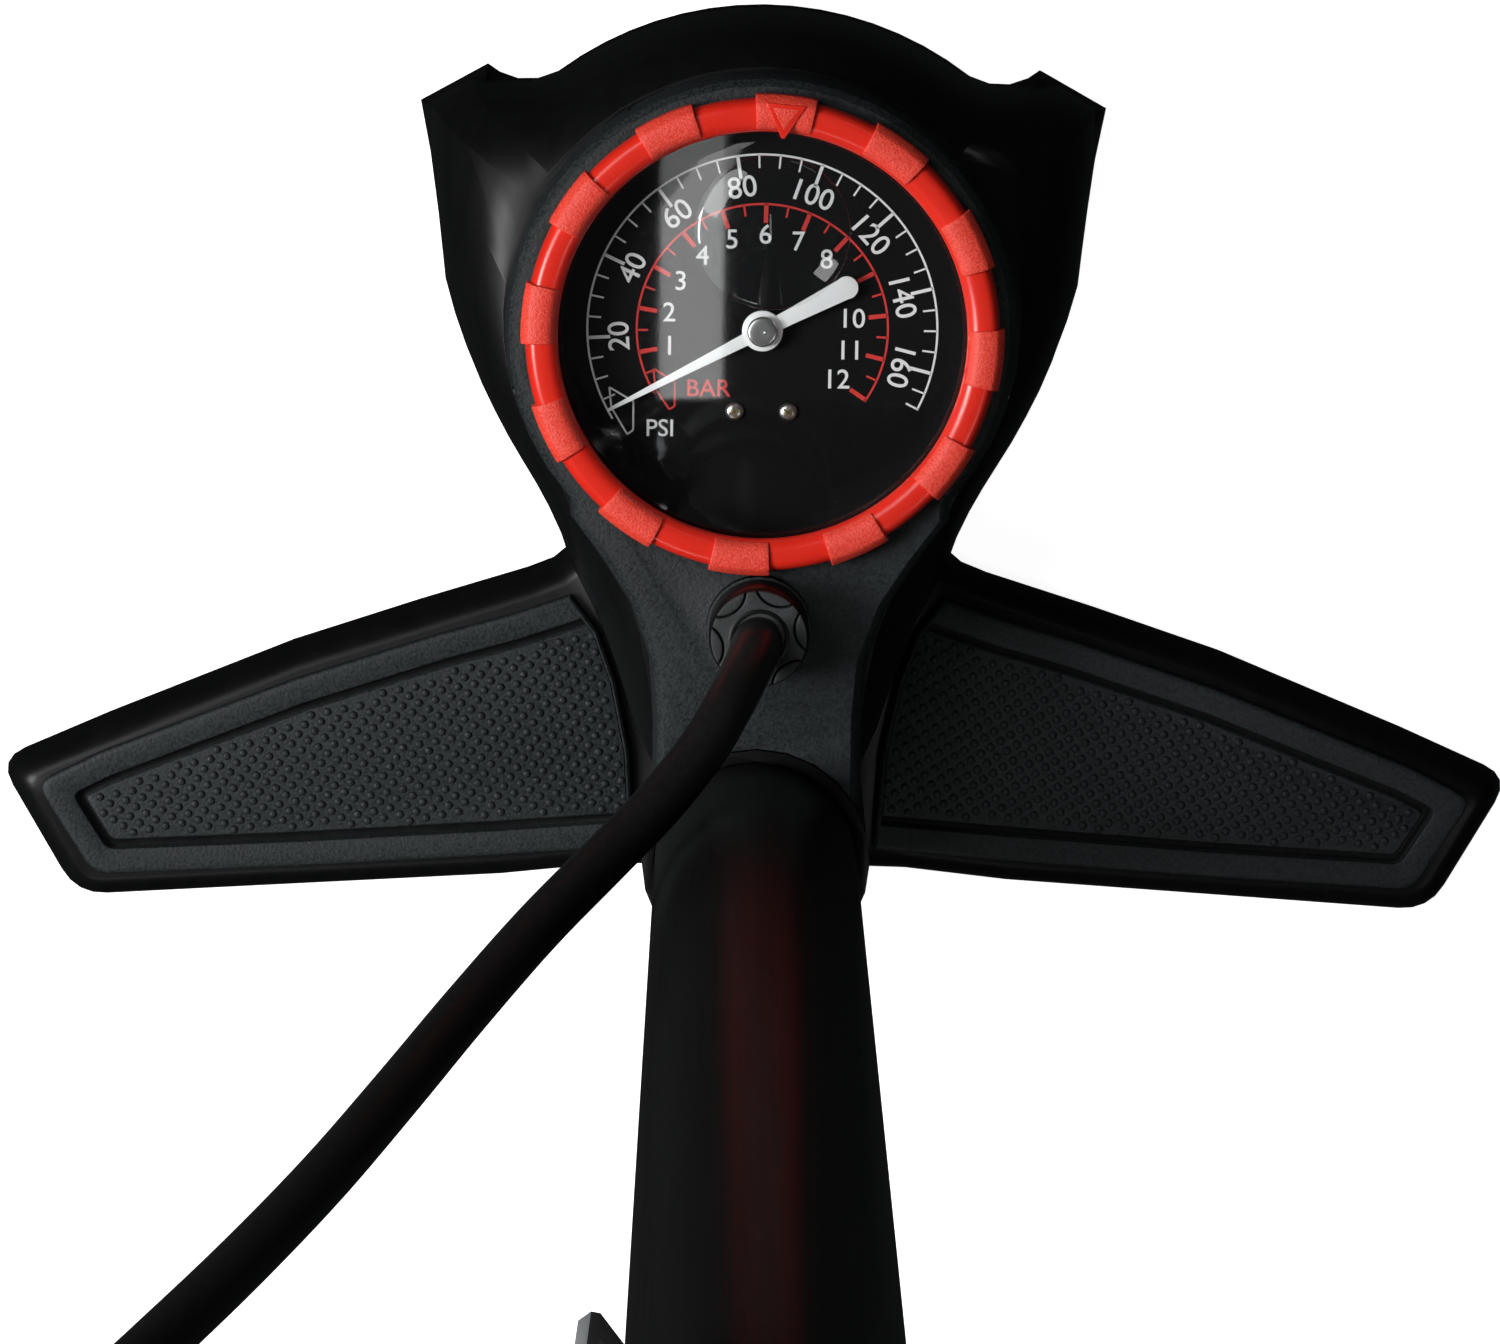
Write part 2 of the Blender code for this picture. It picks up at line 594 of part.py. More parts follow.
def make_hose_nut():
    """Hand nut with six finger hollows."""
    segments = 30
    rings = []
    for z, grow in ((60.4, 0.0), (61.4, 0.5), (69.4, 0.5), (71.4, -1.4)):
        rings.append([])
        for i in range(segments):
            angle = math.tau * i / segments
            hollow = max(0.0, math.cos(6 * angle)) ** 1.5 * 1.3
            reach = 8.9 + grow - hollow
            rings[-1].append(Vector((reach * math.cos(angle), reach * math.sin(angle), z)))
    nut = solid("hose_nut", loft(rings), gloss_black(), at=(0, NUT_Y, 0))
    bore = moved(rod(HOSE_R + 1.1, 50, 80, 16), (0, NUT_Y, 0))
    cut(nut, solid("nut_bore", bore, None))


def make_hose():
    pipe("hose", smooth(HOSE_ROUTE, 2), HOSE_R, rubber(), sides=2)


# ---------------------------------------------------------------- barrel, rod, handle
def make_barrel():
    solid("barrel", tube(BARREL_R, BARREL_R - BARREL_WALL, BARREL_FOOT, BARREL_TOP, 24), gloss_black())
    inner = BARREL_R - BARREL_WALL - GAP
    plug = turned([(inner, 20.3), (inner, 24.0), (inner - 2.2, 24.2), (inner - 2.2, 27.0), (inner, 27.2),
                   (inner, 32.0), (3.0, 32.0), (3.0, 20.3)], 24, closed=True)
    solid("barrel_plug", plug, satin_grey())
    seal = turned([(inner, 24.6), (inner, 26.8), (inner - 1.9, 26.8), (inner - 1.9, 24.6)], 24, closed=True)
    solid("plug_seal", seal, rubber())


def make_cap():
    outer = [(BARREL_R + GAP, 520.0), (BARREL_R + 3.0, 520.0), (BARREL_R + 3.6, 524.0),
             (BARREL_R + 3.6, 552.0), (BARREL_R + 1.0, 559.0), (12.0, CAP_TOP), (8.3, CAP_TOP),
             (8.3, BARREL_TOP + GAP), (BARREL_R + GAP, BARREL_TOP + GAP)]
    solid("barrel_cap", turned(outer, 28, closed=True), satin_grey())
    bush = turned([(8.0, 540.0), (8.0, CAP_TOP), (9.4, CAP_TOP + GAP), (9.4, CAP_TOP + 1.6),
                   (ROD_R + 0.08, CAP_TOP + 1.6), (ROD_R + 0.08, 540.0)], 24, closed=True)
    solid("cap_bush", bush, rubber())


def make_piston():
    bore = BARREL_R - BARREL_WALL
    solid("piston_rod", rod(ROD_R, PISTON_Z + 1.0, HANDLE_Z + 11.0, 24), steel())
    body = turned([(bore - 1.0, PISTON_Z + 9.0), (bore - 1.0, PISTON_Z + 17.0), (9.0, PISTON_Z + 20.0),
                   (ROD_R + GAP, PISTON_Z + 20.0), (ROD_R + GAP, PISTON_Z + 9.0)], 24, closed=True)
    solid("piston_body", body, white_enamel())
    cup = turned([(bore - 0.1, PISTON_Z), (bore - 0.1, PISTON_Z + 5.0), (bore - 1.4, PISTON_Z + 8.7),
                  (ROD_R + GAP, PISTON_Z + 8.7), (ROD_R + GAP, PISTON_Z + 6.4), (bore - 3.0, PISTON_Z + 6.4),
                  (bore - 1.8, PISTON_Z)], 24, closed=True)
    solid("piston_cup", cup, rubber())
    solid("piston_nut", tube(8.0, ROD_R + GAP, PISTON_Z + 1.6, PISTON_Z + 6.1, 6 * 3), steel())
    bumper = turned([(9.0, PISTON_Z + 20.4), (11.0, PISTON_Z + 24.0), (9.0, PISTON_Z + 30.0),
                     (ROD_R + GAP, PISTON_Z + 30.0), (ROD_R + GAP, PISTON_Z + 20.4)], 16, closed=True)
    solid("rod_bumper", bumper, rubber())


def oval(x, wide, tall, segments=16):
    """Cross-section of the handle at x: an oval in the Y-Z plane."""
    return [Vector((x, wide * math.cos(math.tau * i / segments),
                    HANDLE_Z + tall * math.sin(math.tau * i / segments))) for i in range(segments)]


def make_handle():
    stations = [(-GRIP_END - 1.5, 9.5, 7.5), (-GRIP_START - 4.0, 9.5, 7.5), (-GRIP_START - 3.6, 15.0, 12.5),
                (-16.0, 15.5, 13.0), (0.0, 15.8, 13.4), (16.0, 15.5, 13.0), (GRIP_START + 3.6, 15.0, 12.5),
                (GRIP_START + 4.0, 9.5, 7.5), (GRIP_END + 1.5, 9.5, 7.5)]
    core = solid("handle_core", loft([oval(x, w, t) for x, w, t in stations]), gloss_black())
    collar = turned([(11.0, CAP_TOP + 6.0), (12.0, HANDLE_Z - 10.0), (12.0, HANDLE_Z)], 24)
    cut(core, solid("handle_collar", collar, None), operation="UNION")
    cut(core, solid("rod_socket", rod(ROD_R + GAP, 500, HANDLE_Z + 11.3, 24), None),
        solid("screw_seat", turned([(3.0, HANDLE_Z + 11.2), (3.0, HANDLE_Z + 12.0), (6.4, HANDLE_Z + 12.01),
                                    (6.4, 640)], 16), None))
    screw = turned([(2.6, HANDLE_Z + 11.4), (2.6, HANDLE_Z + 12.3), (6.0, HANDLE_Z + 12.4),
                    (6.0, HANDLE_Z + 14.6), (4.6, HANDLE_Z + 15.8)], 16)
    solid("handle_screw", screw, steel())
    for label, side in (("right", 1), ("left", -1)):
        shape = [(GRIP_START + 4.4, 15.6, 12.6), (GRIP_START + 10.0, 15.0, 12.0), (55.0, 15.8, 13.2),
                 (80.0, 16.6, 14.0), (105.0, 15.6, 13.0), (GRIP_END - 3.0, 14.8, 12.2), (GRIP_END, 16.0, 13.4)]
        grip = solid("grip_" + label, loft([oval(side * x, w, t) for x, w, t in shape]), rubber())
        bore = loft([oval(side * x, 9.5 + GAP, 7.5 + GAP) for x in (20.0, 140.0)])
        cut(grip, solid("grip_bore_" + label, bore, None))
        end = [(GRIP_END + 1.8, 15.4, 12.8), (GRIP_END + 4.0, 15.4, 12.8), (GRIP_END + 6.0, 12.0, 9.6)]
        solid("grip_cap_" + label, loft([oval(side * x, w, t) for x, w, t in end]), satin_grey())


# ---------------------------------------------------------------- parked head
def head_frame():
    """Axes of the head: X towards the lever, Z up the hose."""
    return Matrix.Rotation(math.atan2(LEVER_DIR[1], LEVER_DIR[0]), 3, "Z")


def make_clip():
    """Band round the barrel with an open jaw that grips the head."""
    band = tube(BARREL_R + 2.6, BARREL_R + GAP, 474.0, 488.0, 28)
    clip = solid("head_clip", band, satin_grey())
    way = Vector(HEAD).normalized()
    reach = Vector(HEAD).length
    angle = math.degrees(math.atan2(way.y, way.x))
    section = [(8.9 + GAP, 474.0), (11.6, 474.0), (11.6, 488.0), (8.9 + GAP, 488.0)]
    jaw = wedge(section, angle + 180 - 128, angle + 180 + 128, 20)
    web = block((BARREL_R + 1.0, -4.0, 474.0), (reach - 9.9, 4.0, 488.0))
    web_piece = solid("clip_web", web, None, turn=Matrix.Rotation(math.radians(angle), 3, "Z"))
    cut(clip, web_piece, solid("clip_jaw", jaw, None, at=(*HEAD, 0)), operation="UNION")
    far = Vector((-way.x, -way.y))
    ears = block((-4.5, -3.5, 476.0), (4.0, 3.5, 486.0))
    place = (*(far * (BARREL_R + 6.0)), 0)
    turn = Matrix.Rotation(math.radians(angle), 3, "Z")
    cut(clip, solid("clip_ears", ears, None, place, turn), operation="UNION")
    slit = block((-12, -0.8, 470.0), (4.6, 0.8, 492.0))
    cut(clip, solid("clip_slit", slit, None, place, turn))
    hole = loft([[Vector((1.7 * math.cos(math.tau * i / 8), y, 481 + 1.7 * math.sin(math.tau * i / 8)))
                  for i in range(8)] for y in (-9, 9)])
    cut(clip, solid("clip_hole", hole, None, place, turn))
    shape = turned([(2.9, -6.2), (2.9, -4.0), (1.4, -3.8), (1.4, 5.6)], 12)
    lying = Matrix.Rotation(math.radians(angle), 3, "Z") @ Matrix.Rotation(math.radians(-90), 3, "X")
    solid("clip_screw", shape, steel(), (*(far * (BARREL_R + 6.0)), 481.0), lying)


def make_head():
    at = (*HEAD, 0)
    turn = head_frame()
    body = turned([(8.9, HEAD_Z + 9.0), (8.9, 497.0), (7.4, 503.0), (HOSE_R + 2.4, 506.0),
                   (HOSE_R + 0.9, 506.0), (HOSE_R + 0.9, 494.0), (6.0, 493.0), (6.0, HEAD_Z + 9.0)],
                  24, closed=True)
    head = solid("head_body", body, satin_grey(), at, turn)
    for side in (-1, 1):
        cheek = block((5.0, side * 5.0 - 1.4, 490.0), (15.6, side * 5.0 + 1.4, 498.0))
        cut(head, solid(f"cheek_{side + 1}", cheek, None, at, turn), operation="UNION")
    cut(head, solid("cheek_hole", cross_pin(1.3, 9.0), None, at, turn))
    core = rod(HOSE_R + 1.0, 489.0, 500.0, 16)
    cut(head, solid("head_core", core, None, at))

    cap = turned([(9.6, HEAD_Z), (9.6, HEAD_Z + 8.7), (4.3, HEAD_Z + 8.7), (4.3, HEAD_Z)], 24, closed=True)
    solid("head_cap", cap, gloss_black(), at)
    grommet = turned([(5.6, HEAD_Z + 9.2), (5.6, HEAD_Z + 17.0), (4.2, HEAD_Z + 17.0), (4.2, HEAD_Z + 9.2)],
                     16, closed=True)
    solid("head_grommet", grommet, rubber(), at)
    plunger = turned([(5.6, HEAD_Z + 17.4), (5.6, HEAD_Z + 22.0), (1.4, HEAD_Z + 22.0), (1.4, HEAD_Z + 17.4)],
                     16, closed=True)
    solid("head_plunger", plunger, brass(), at)


def cross_pin(radius, reach):
    """A round rod through the lever's pivot, along Y of the head."""
    return loft([[Vector((PIVOT_X + radius * math.cos(math.tau * i / 12), y,
                          PIVOT_Z + radius * math.sin(math.tau * i / 12)))
                  for i in range(12)] for y in (-reach, reach)])


def make_lever():
    """Alloy lever, folded down along the head and past its mouth, on a cross pin."""
    at = (*HEAD, 0)
    turn = head_frame()
    eye = arc((PIVOT_X, PIVOT_Z), 3.0, 0, 200, 8)
    arm = [(12.4, 486.0), (13.0, 468.0), (12.8, 442.0), (11.6, 426.0), (12.2, 423.6), (14.0, 425.0),
           (15.6, 440.0), (16.2, 468.0), (15.6, 486.0)]
    lever = solid("head_lever", loft([[Vector((x, y, z)) for x, z in eye + arm] for y in (-3.2, 3.2)]),
                  steel(), at, turn)
    paddle = loft([[Vector((x, y, z)) for x, y in ((13.3, -w), (15.3, -w), (15.3, w), (13.3, w))]
                   for z, w in ((428.0, 3.6), (432.0, 5.4), (450.0, 5.8), (468.0, 4.6), (474.0, 3.4))])
    cut(lever, solid("lever_paddle", paddle, None, at, turn), operation="UNION")
    cut(lever, solid("lever_eye", cross_pin(1.3, 9.0), None, at, turn))
    solid("lever_pin", cross_pin(1.0, 6.6), steel(), at, turn)


def main():
    remove_everything()
    make_base()
    make_feet()
    make_pedal_pads()
    make_housing()
    make_housing_screws()
    make_gauge_case()
    make_bourdon_tube()
    make_movement()
    make_dial()
    make_needle()
    make_bezel()
    make_air_path()
    make_hose_nut()
    make_hose()
    make_barrel()
    make_cap()
    make_piston()
    make_handle()
    make_clip()
    make_head()
    make_lever()


main()
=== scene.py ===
"""Looks of the floor bike pump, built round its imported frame. Sizes are in millimetres until placed."""
import json
import math

import bmesh
import bpy
from mathutils import Matrix, Vector


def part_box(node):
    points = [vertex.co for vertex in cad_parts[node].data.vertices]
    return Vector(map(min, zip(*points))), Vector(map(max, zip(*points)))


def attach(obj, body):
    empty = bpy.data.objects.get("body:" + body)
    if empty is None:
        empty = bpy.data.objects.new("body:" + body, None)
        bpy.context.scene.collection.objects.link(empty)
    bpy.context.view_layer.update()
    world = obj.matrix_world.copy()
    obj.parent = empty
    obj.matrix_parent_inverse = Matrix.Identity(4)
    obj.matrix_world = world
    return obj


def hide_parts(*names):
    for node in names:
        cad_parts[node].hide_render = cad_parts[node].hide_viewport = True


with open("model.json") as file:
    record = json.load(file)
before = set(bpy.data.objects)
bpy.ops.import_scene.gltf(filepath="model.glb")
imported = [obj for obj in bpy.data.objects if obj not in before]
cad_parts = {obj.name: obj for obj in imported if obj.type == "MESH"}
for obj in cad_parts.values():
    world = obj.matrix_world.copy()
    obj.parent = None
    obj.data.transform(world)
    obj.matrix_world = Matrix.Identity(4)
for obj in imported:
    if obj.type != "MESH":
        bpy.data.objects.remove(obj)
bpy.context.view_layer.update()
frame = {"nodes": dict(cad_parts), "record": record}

MM = 0.001
RECORD = frame["record"]
SLOT_OF = {part["node"]: part["material_slot"] for part in RECORD["subparts"]}
BODY_OF = {node: body for body, nodes in RECORD["behaviour"]["bodies"].items() for node in nodes}


def in_mm(node):
    """Lowest and highest corner of a CAD node, in millimetres."""
    low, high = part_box(node)
    return low / MM, high / MM


DIAL_LOW, DIAL_HIGH = in_mm("gauge_dial")
GAUGE = Vector(((DIAL_LOW.x + DIAL_HIGH.x) / 2, (DIAL_LOW.y + DIAL_HIGH.y) / 2, 0))
BEZEL_LOW, BEZEL_HIGH = in_mm("bezel_ring")
NUT_LOW, NUT_HIGH = in_mm("hose_nut")
NUT = Vector(((NUT_LOW.x + NUT_HIGH.x) / 2, (NUT_LOW.y + NUT_HIGH.y) / 2, 0))
BARREL_LOW, BARREL_HIGH = in_mm("barrel")
BARREL_R = 19.0
HOSE_R = 4.6
HOSE_ROUTE = [
    (0, 45, 63), (-0.2, 44.7, 70.2), (-1.2, 42.9, 77.6), (-3.4, 39.3, 84.7), (-6.3, 34.8, 90.8),
    (-10.2, 29.2, 96.4), (-17.8, 21, 105.2), (-27, 13.2, 116), (-38.5, 4.4, 133), (-50, -5, 155),
    (-60.2, -13, 180), (-70.8, -21, 205), (-82.5, -29, 228), (-95, -36.6, 251), (-106.3, -41.9, 278),
    (-114, -44, 312), (-118, -42.3, 350), (-118, -38.6, 390), (-115.2, -34, 430), (-111, -30, 470),
    (-109.1, -28.7, 504.5), (-103.9, -25.9, 525.1), (-90.8, -18.9, 540.6), (-72.8, -9.3, 547.2),
    (-54.2, 0.6, 543.5), (-39.3, 8.6, 530.3), (-31.9, 12.5, 512.2), (-31, 13, 501.5), (-31, 13, 495),
]


# ---------------------------------------------------------------- shaders
class Value:
    """A shader socket that takes arithmetic."""

    def __init__(self, finish, socket):
        self.finish = finish
        self.socket = socket

    def _math(self, operation, one, two=0.0):
        return self.finish.node("ShaderNodeMath", {"operation": operation}, {0: one, 1: two})

    def __add__(self, other):
        return self._math("ADD", self, other)

    __radd__ = __add__

    def __mul__(self, other):
        return self._math("MULTIPLY", self, other)

    __rmul__ = __mul__

    def __sub__(self, other):
        return self._math("SUBTRACT", self, other)

    def __rsub__(self, other):
        return self._math("SUBTRACT", other, self)

    def above(self, limit):
        return self._math("GREATER_THAN", self, limit)


class Finish:
    """A material whose nodes are added by node() and whose shader takes values or links."""

    def __init__(self, name, **sockets):
        self.material = bpy.data.materials.new(name)
        self.material.use_nodes = True
        self.tree = self.material.node_tree
        self.shader = self.tree.nodes["Principled BSDF"]
        self.coordinates = self.node("ShaderNodeTexCoord", {}, {}, "Object")
        for name, value in sockets.items():
            self.feed(name.replace("_", " ").title().replace("Ior", "IOR"), value)

    def node(self, kind, settings, values, output=0):
        made = self.tree.nodes.new(kind)
        for key, value in settings.items():
            setattr(made, key, value)
        for key, value in values.items():
            self.link(made.inputs[key], value)
        return Value(self, made.outputs[output])

    def link(self, socket, value):
        if isinstance(value, Value):
            self.tree.links.new(value.socket, socket)
        else:
            socket.default_value = value

    def feed(self, name, value):
        self.link(self.shader.inputs[name], value)
        return self

    def noise(self, scale, detail=2.0, stretch=(1, 1, 1)):
        place = self.node("ShaderNodeMapping", {}, {"Vector": self.coordinates, "Scale": stretch})
        return self.node("ShaderNodeTexNoise", {}, {"Vector": place, "Scale": scale, "Detail": detail})

    def cells(self, scale):
        return self.node("ShaderNodeTexVoronoi", {}, {"Vector": self.coordinates, "Scale": scale})

    def tint(self, amount, dark, light):
        """A colour between two, by a value."""
        return self.node("ShaderNodeMix", {"data_type": "RGBA"},
                         {0: amount, 6: (*dark, 1.0), 7: (*light, 1.0)}, 2)

    def bump(self, height, depth_mm, strength=1.0):
        lifted = self.node("ShaderNodeBump", {}, {"Height": height, "Distance": depth_mm * MM,
                                                  "Strength": strength})
        return self.feed("Normal", lifted)


def gloss_black():
    """Black moulding with a soft polish, faint flow ripples, dust and fine rub marks."""
    f = Finish("polished_black", specular_ior_level=0.16)
    dust = f.noise(5200.0, 1.0).above(0.75)
    rub = f.noise(260.0, 4.0, (1, 0.25, 1))
    f.feed("Base Color", f.tint(dust * 0.25 + rub * 0.3, (0.0022, 0.0023, 0.0025), (0.011, 0.0115, 0.012)))
    f.feed("Roughness", 0.30 + rub * 0.12 + dust * 0.2)
    f.bump(f.noise(240.0, 1.0) + rub * 0.15, 0.012)
    return f.material


def barrel_black():
    """Wet-look lacquer on the drawn tube, with very fine lengthwise draw lines."""
    f = Finish("barrel_lacquer", specular_ior_level=0.2)
    lines = f.noise(900.0, 2.0, (1, 1, 0.02))
    f.feed("Base Color", f.tint(lines, (0.0028, 0.0028, 0.003), (0.006, 0.006, 0.0063)))
    f.feed("Roughness", 0.30 + lines * 0.08)
    f.bump(f.noise(180.0, 1.0), 0.012)
    return f.material


def grained_grey(name, dark, light, grain=1700.0, depth=0.05):
    """Dark grey plastic from a spark-eroded mould: dense fine grain that scatters light."""
    f = Finish(name, specular_ior_level=0.3)
    grit = (f.noise(grain, 2.0) - 0.5) * 3.2 + 0.5
    pits = f.cells(grain * 0.62)
    f.feed("Base Color", f.tint(grit * 0.75 + f.noise(34.0) * 0.25, dark, light))
    f.feed("Roughness", 0.50 + grit * 0.16)
    f.bump(grit * 0.7 + pits * 0.5, depth)
    return f.material


def red_gloss():
    """Moulded red with a polished face."""
    f = Finish("bezel_red", specular_ior_level=0.45)
    cloud = f.noise(60.0, 2.0)
    f.feed("Base Color", f.tint(cloud, (0.62, 0.016, 0.008), (0.70, 0.024, 0.011)))
    f.feed("Roughness", 0.24 + cloud * 0.08)
    f.bump(f.noise(420.0, 1.0), 0.01)
    return f.material


def red_grained():
    """The raised lugs: the same red with a sandblasted face that looks lighter."""
    f = Finish("lug_red", specular_ior_level=0.4)
    grit = (f.noise(2500.0, 2.0) - 0.5) * 2.4 + 0.5
    f.feed("Base Color", f.tint(grit, (0.62, 0.026, 0.013), (0.80, 0.075, 0.046)))
    f.feed("Roughness", 0.42 + grit * 0.2)
    f.bump(grit, 0.06)
    return f.material


def rubber_black():
    """Smooth black rubber with a low shine."""
    f = Finish("hose_rubber", specular_ior_level=0.45)
    skin = f.noise(700.0, 3.0)
    f.feed("Base Color", f.tint(skin, (0.0045, 0.0045, 0.0048), (0.011, 0.011, 0.0115)))
    f.feed("Roughness", 0.26 + skin * 0.14)
    f.bump(skin, 0.012)
    return f.material


def grip_rubber():
    """Soft handle rubber with a diamond knurl."""
    f = Finish("grip_rubber", specular_ior_level=0.35)
    knurl = f.node("ShaderNodeTexVoronoi", {"distance": "MANHATTAN"},
                   {"Vector": f.coordinates, "Scale": 430.0, "Randomness": 0.0})
    skin = f.noise(1500.0, 2.0)
    f.feed("Base Color", f.tint(skin, (0.009, 0.009, 0.0095), (0.018, 0.018, 0.019)))
    f.feed("Roughness", 0.55 + skin * 0.15)
    f.bump(1.0 - knurl * 1.6 + skin * 0.1, 0.35)
    return f.material


def steel():
    """Bright steel, brushed lengthwise."""
    f = Finish("bright_steel", metallic=1.0)
    brush = f.noise(1900.0, 2.0, (1, 1, 0.05))
    f.feed("Base Color", f.tint(brush, (0.62, 0.62, 0.61), (0.72, 0.72, 0.71)))
    f.feed("Roughness", 0.26 + brush * 0.10)
    f.bump(brush, 0.0008)
    return f.material


def alloy():
    """Cast light alloy."""
    f = Finish("cast_alloy", metallic=0.6)
    cast = f.noise(1300.0, 4.0)
    f.feed("Base Color", f.tint(cast, (0.42, 0.44, 0.46), (0.60, 0.62, 0.64)))
    f.feed("Roughness", 0.30 + cast * 0.2)
    f.bump(cast, 0.03)
    return f.material


def brass():
    """Turned brass."""
    f = Finish("turned_brass", metallic=1.0)
    cast = f.noise(900.0, 3.0)
    f.feed("Base Color", f.tint(cast, (0.62, 0.42, 0.15), (0.76, 0.56, 0.24)))
    f.feed("Roughness", 0.26 + cast * 0.18)
    f.bump(cast, 0.01)
    return f.material


def paint(name, dark, light, roughness=0.45, shine=0.5):
    """Flat paint or print with faint flecks."""
    f = Finish(name, specular_ior_level=shine)
    fleck = f.noise(1600.0, 2.0)
    f.feed("Base Color", f.tint(fleck, dark, light))
    f.feed("Roughness", roughness + fleck * 0.1)
    f.bump(fleck, 0.008)
    return f.material


def clear():
    """Clear moulded window: see-through, with a mirror share that grows at grazing angles."""
    f = Finish("clear_window")
    gloss = f.node("ShaderNodeBsdfGlossy", {}, {"Color": (1, 1, 1, 1), "Roughness": 0.02})
    through = f.node("ShaderNodeBsdfTransparent", {}, {"Color": (0.985, 0.99, 0.99, 1)})
    edge = f.node("ShaderNodeLayerWeight", {}, {"Blend": 0.5}, 1)
    share = edge * edge * edge * edge * edge * 0.95 + 0.045
    mixed = f.node("ShaderNodeMixShader", {}, {0: share, 1: through, 2: gloss})
    f.link(f.tree.nodes["Material Output"].inputs["Surface"], mixed)
    return f.material


BLACK = gloss_black()
LACQUER = barrel_black()
GREY = grained_grey("housing_grey", (0.0045, 0.0062, 0.0068), (0.019, 0.0245, 0.026))
# The nut's grey is a lighter copy of the housing grey: painted light, for the light the nut catches from
# the left.
NUT_GREY_PAINTED_LIT = grained_grey("nut_grey", (0.020, 0.022, 0.023), (0.034, 0.037, 0.038), 2600.0, 0.02)
TREAD = grained_grey("tread_grey", (0.0052, 0.0070, 0.0076), (0.0145, 0.0185, 0.020), 1700.0, 0.04)
RED = red_gloss()
RED_GRAIN = red_grained()
RUBBER = rubber_black()
GRIP = grip_rubber()
STEEL = steel()
ALLOY = alloy()
BRASS = brass()
WHITE = paint("needle_white", (0.86, 0.88, 0.88), (0.93, 0.94, 0.94), 0.3)
DIAL = paint("dial_black", (0.0025, 0.0025, 0.003), (0.006, 0.006, 0.0065), 0.5, 0.08)
PRINT_WHITE = paint("print_white", (0.74, 0.75, 0.75), (0.86, 0.86, 0.86), 0.5)
PRINT_RED = paint("print_red", (0.62, 0.025, 0.022), (0.74, 0.04, 0.03), 0.5)
CLEAR = clear()
SLOT_FINISH = {"gloss_black": BLACK, "satin_grey": GREY, "red_plastic": RED, "rubber": RUBBER,
               "steel": STEEL, "alloy": ALLOY, "brass": BRASS, "white_enamel": WHITE, "dial": DIAL,
               "clear": CLEAR}


# ---------------------------------------------------------------- mesh helpers
SHARP = 35.0                 # degrees between faces from which an edge is shaded sharp
ALL_SMOOTH = 180.0


def loft(rings, closed=False):
    """Quads between rings of equal length; open stacks get flat ends, closed ones meet themselves."""
    mesh = bmesh.new()
    rows = [[mesh.verts.new(p) for p in ring] for ring in rings]
    pairs = list(zip(rows, rows[1:]))
    if closed:
        pairs.append((rows[-1], rows[0]))
    for low, high in pairs:
        for i in range(len(low)):
            j = (i + 1) % len(low)
            mesh.faces.new((low[i], low[j], high[j], high[i]))
    if not closed:
        mesh.faces.new(rows[0][::-1])
        mesh.faces.new(rows[-1])
    return mesh


def turned(profile, segments=96, closed=False):
    """A turned shape about Z from (radius, z) points."""
    rings = [[Vector((r * math.cos(math.tau * i / segments), r * math.sin(math.tau * i / segments), z))
              for i in range(segments)] for r, z in profile]
    return loft(rings, closed)


def swept(section, start, end, steps):
    """A section of (radius, z) points swept round Z between two angles in degrees."""
    rings = []
    for i in range(steps + 1):
        angle = math.radians(start + (end - start) * i / steps)
        rings.append([Vector((r * math.cos(angle), r * math.sin(angle), z)) for r, z in section])
    return loft(rings)


def arc(center, radius, start, end, steps):
    """Points along an arc, angles in degrees anticlockwise of +X."""
    return [(center[0] + radius * math.cos(math.radians(start + (end - start) * i / steps)),
             center[1] + radius * math.sin(math.radians(start + (end - start) * i / steps)))
            for i in range(steps + 1)]


def prism(outline, low, high):
    """An outline of (x, y) points given thickness between two heights."""
    return loft([[Vector((x, y, z)) for x, y in outline] for z in (low, high)])


def smooth_path(points, steps):
    """Catmull-Rom points along an open path."""
    first, second, last, before = (Vector(points[i]) for i in (0, 1, -1, -2))
    path = [2 * first - second] + [Vector(p) for p in points] + [2 * last - before]
    out = []
    for i in range(1, len(path) - 2):
        a, b, c, d = path[i - 1:i + 3]
        for k in range(steps):
            t = k / steps
            out.append(0.5 * (2 * b + (c - a) * t + (2 * a - 5 * b + 4 * c - d) * t * t
                              + (3 * b - a - 3 * c + d) * t ** 3))
    out.append(path[-2])
    return out


def merged(meshes):
    """One bmesh from several, which stay separate shells."""
    whole = bmesh.new()
    for mesh in meshes:
        data = bpy.data.meshes.new("part")
        mesh.to_mesh(data)
        mesh.free()
        whole.from_mesh(data)
        bpy.data.meshes.remove(data)
    return whole


def shaded(data, sharp):
    data.shade_smooth()
    if sharp < ALL_SMOOTH:
        data.set_sharp_from_angle(angle=math.radians(sharp))


def new_piece(name, data, finish, sharp=SHARP):
    """A mesh object with one or more finishes, smooth but for edges over an angle in degrees."""
    data.materials.clear()
    for one in finish if isinstance(finish, (list, tuple)) else [finish]:
        data.materials.append(one)
    shaded(data, sharp)
    piece = bpy.data.objects.new(name, data)
    bpy.context.scene.collection.objects.link(piece)
    return piece


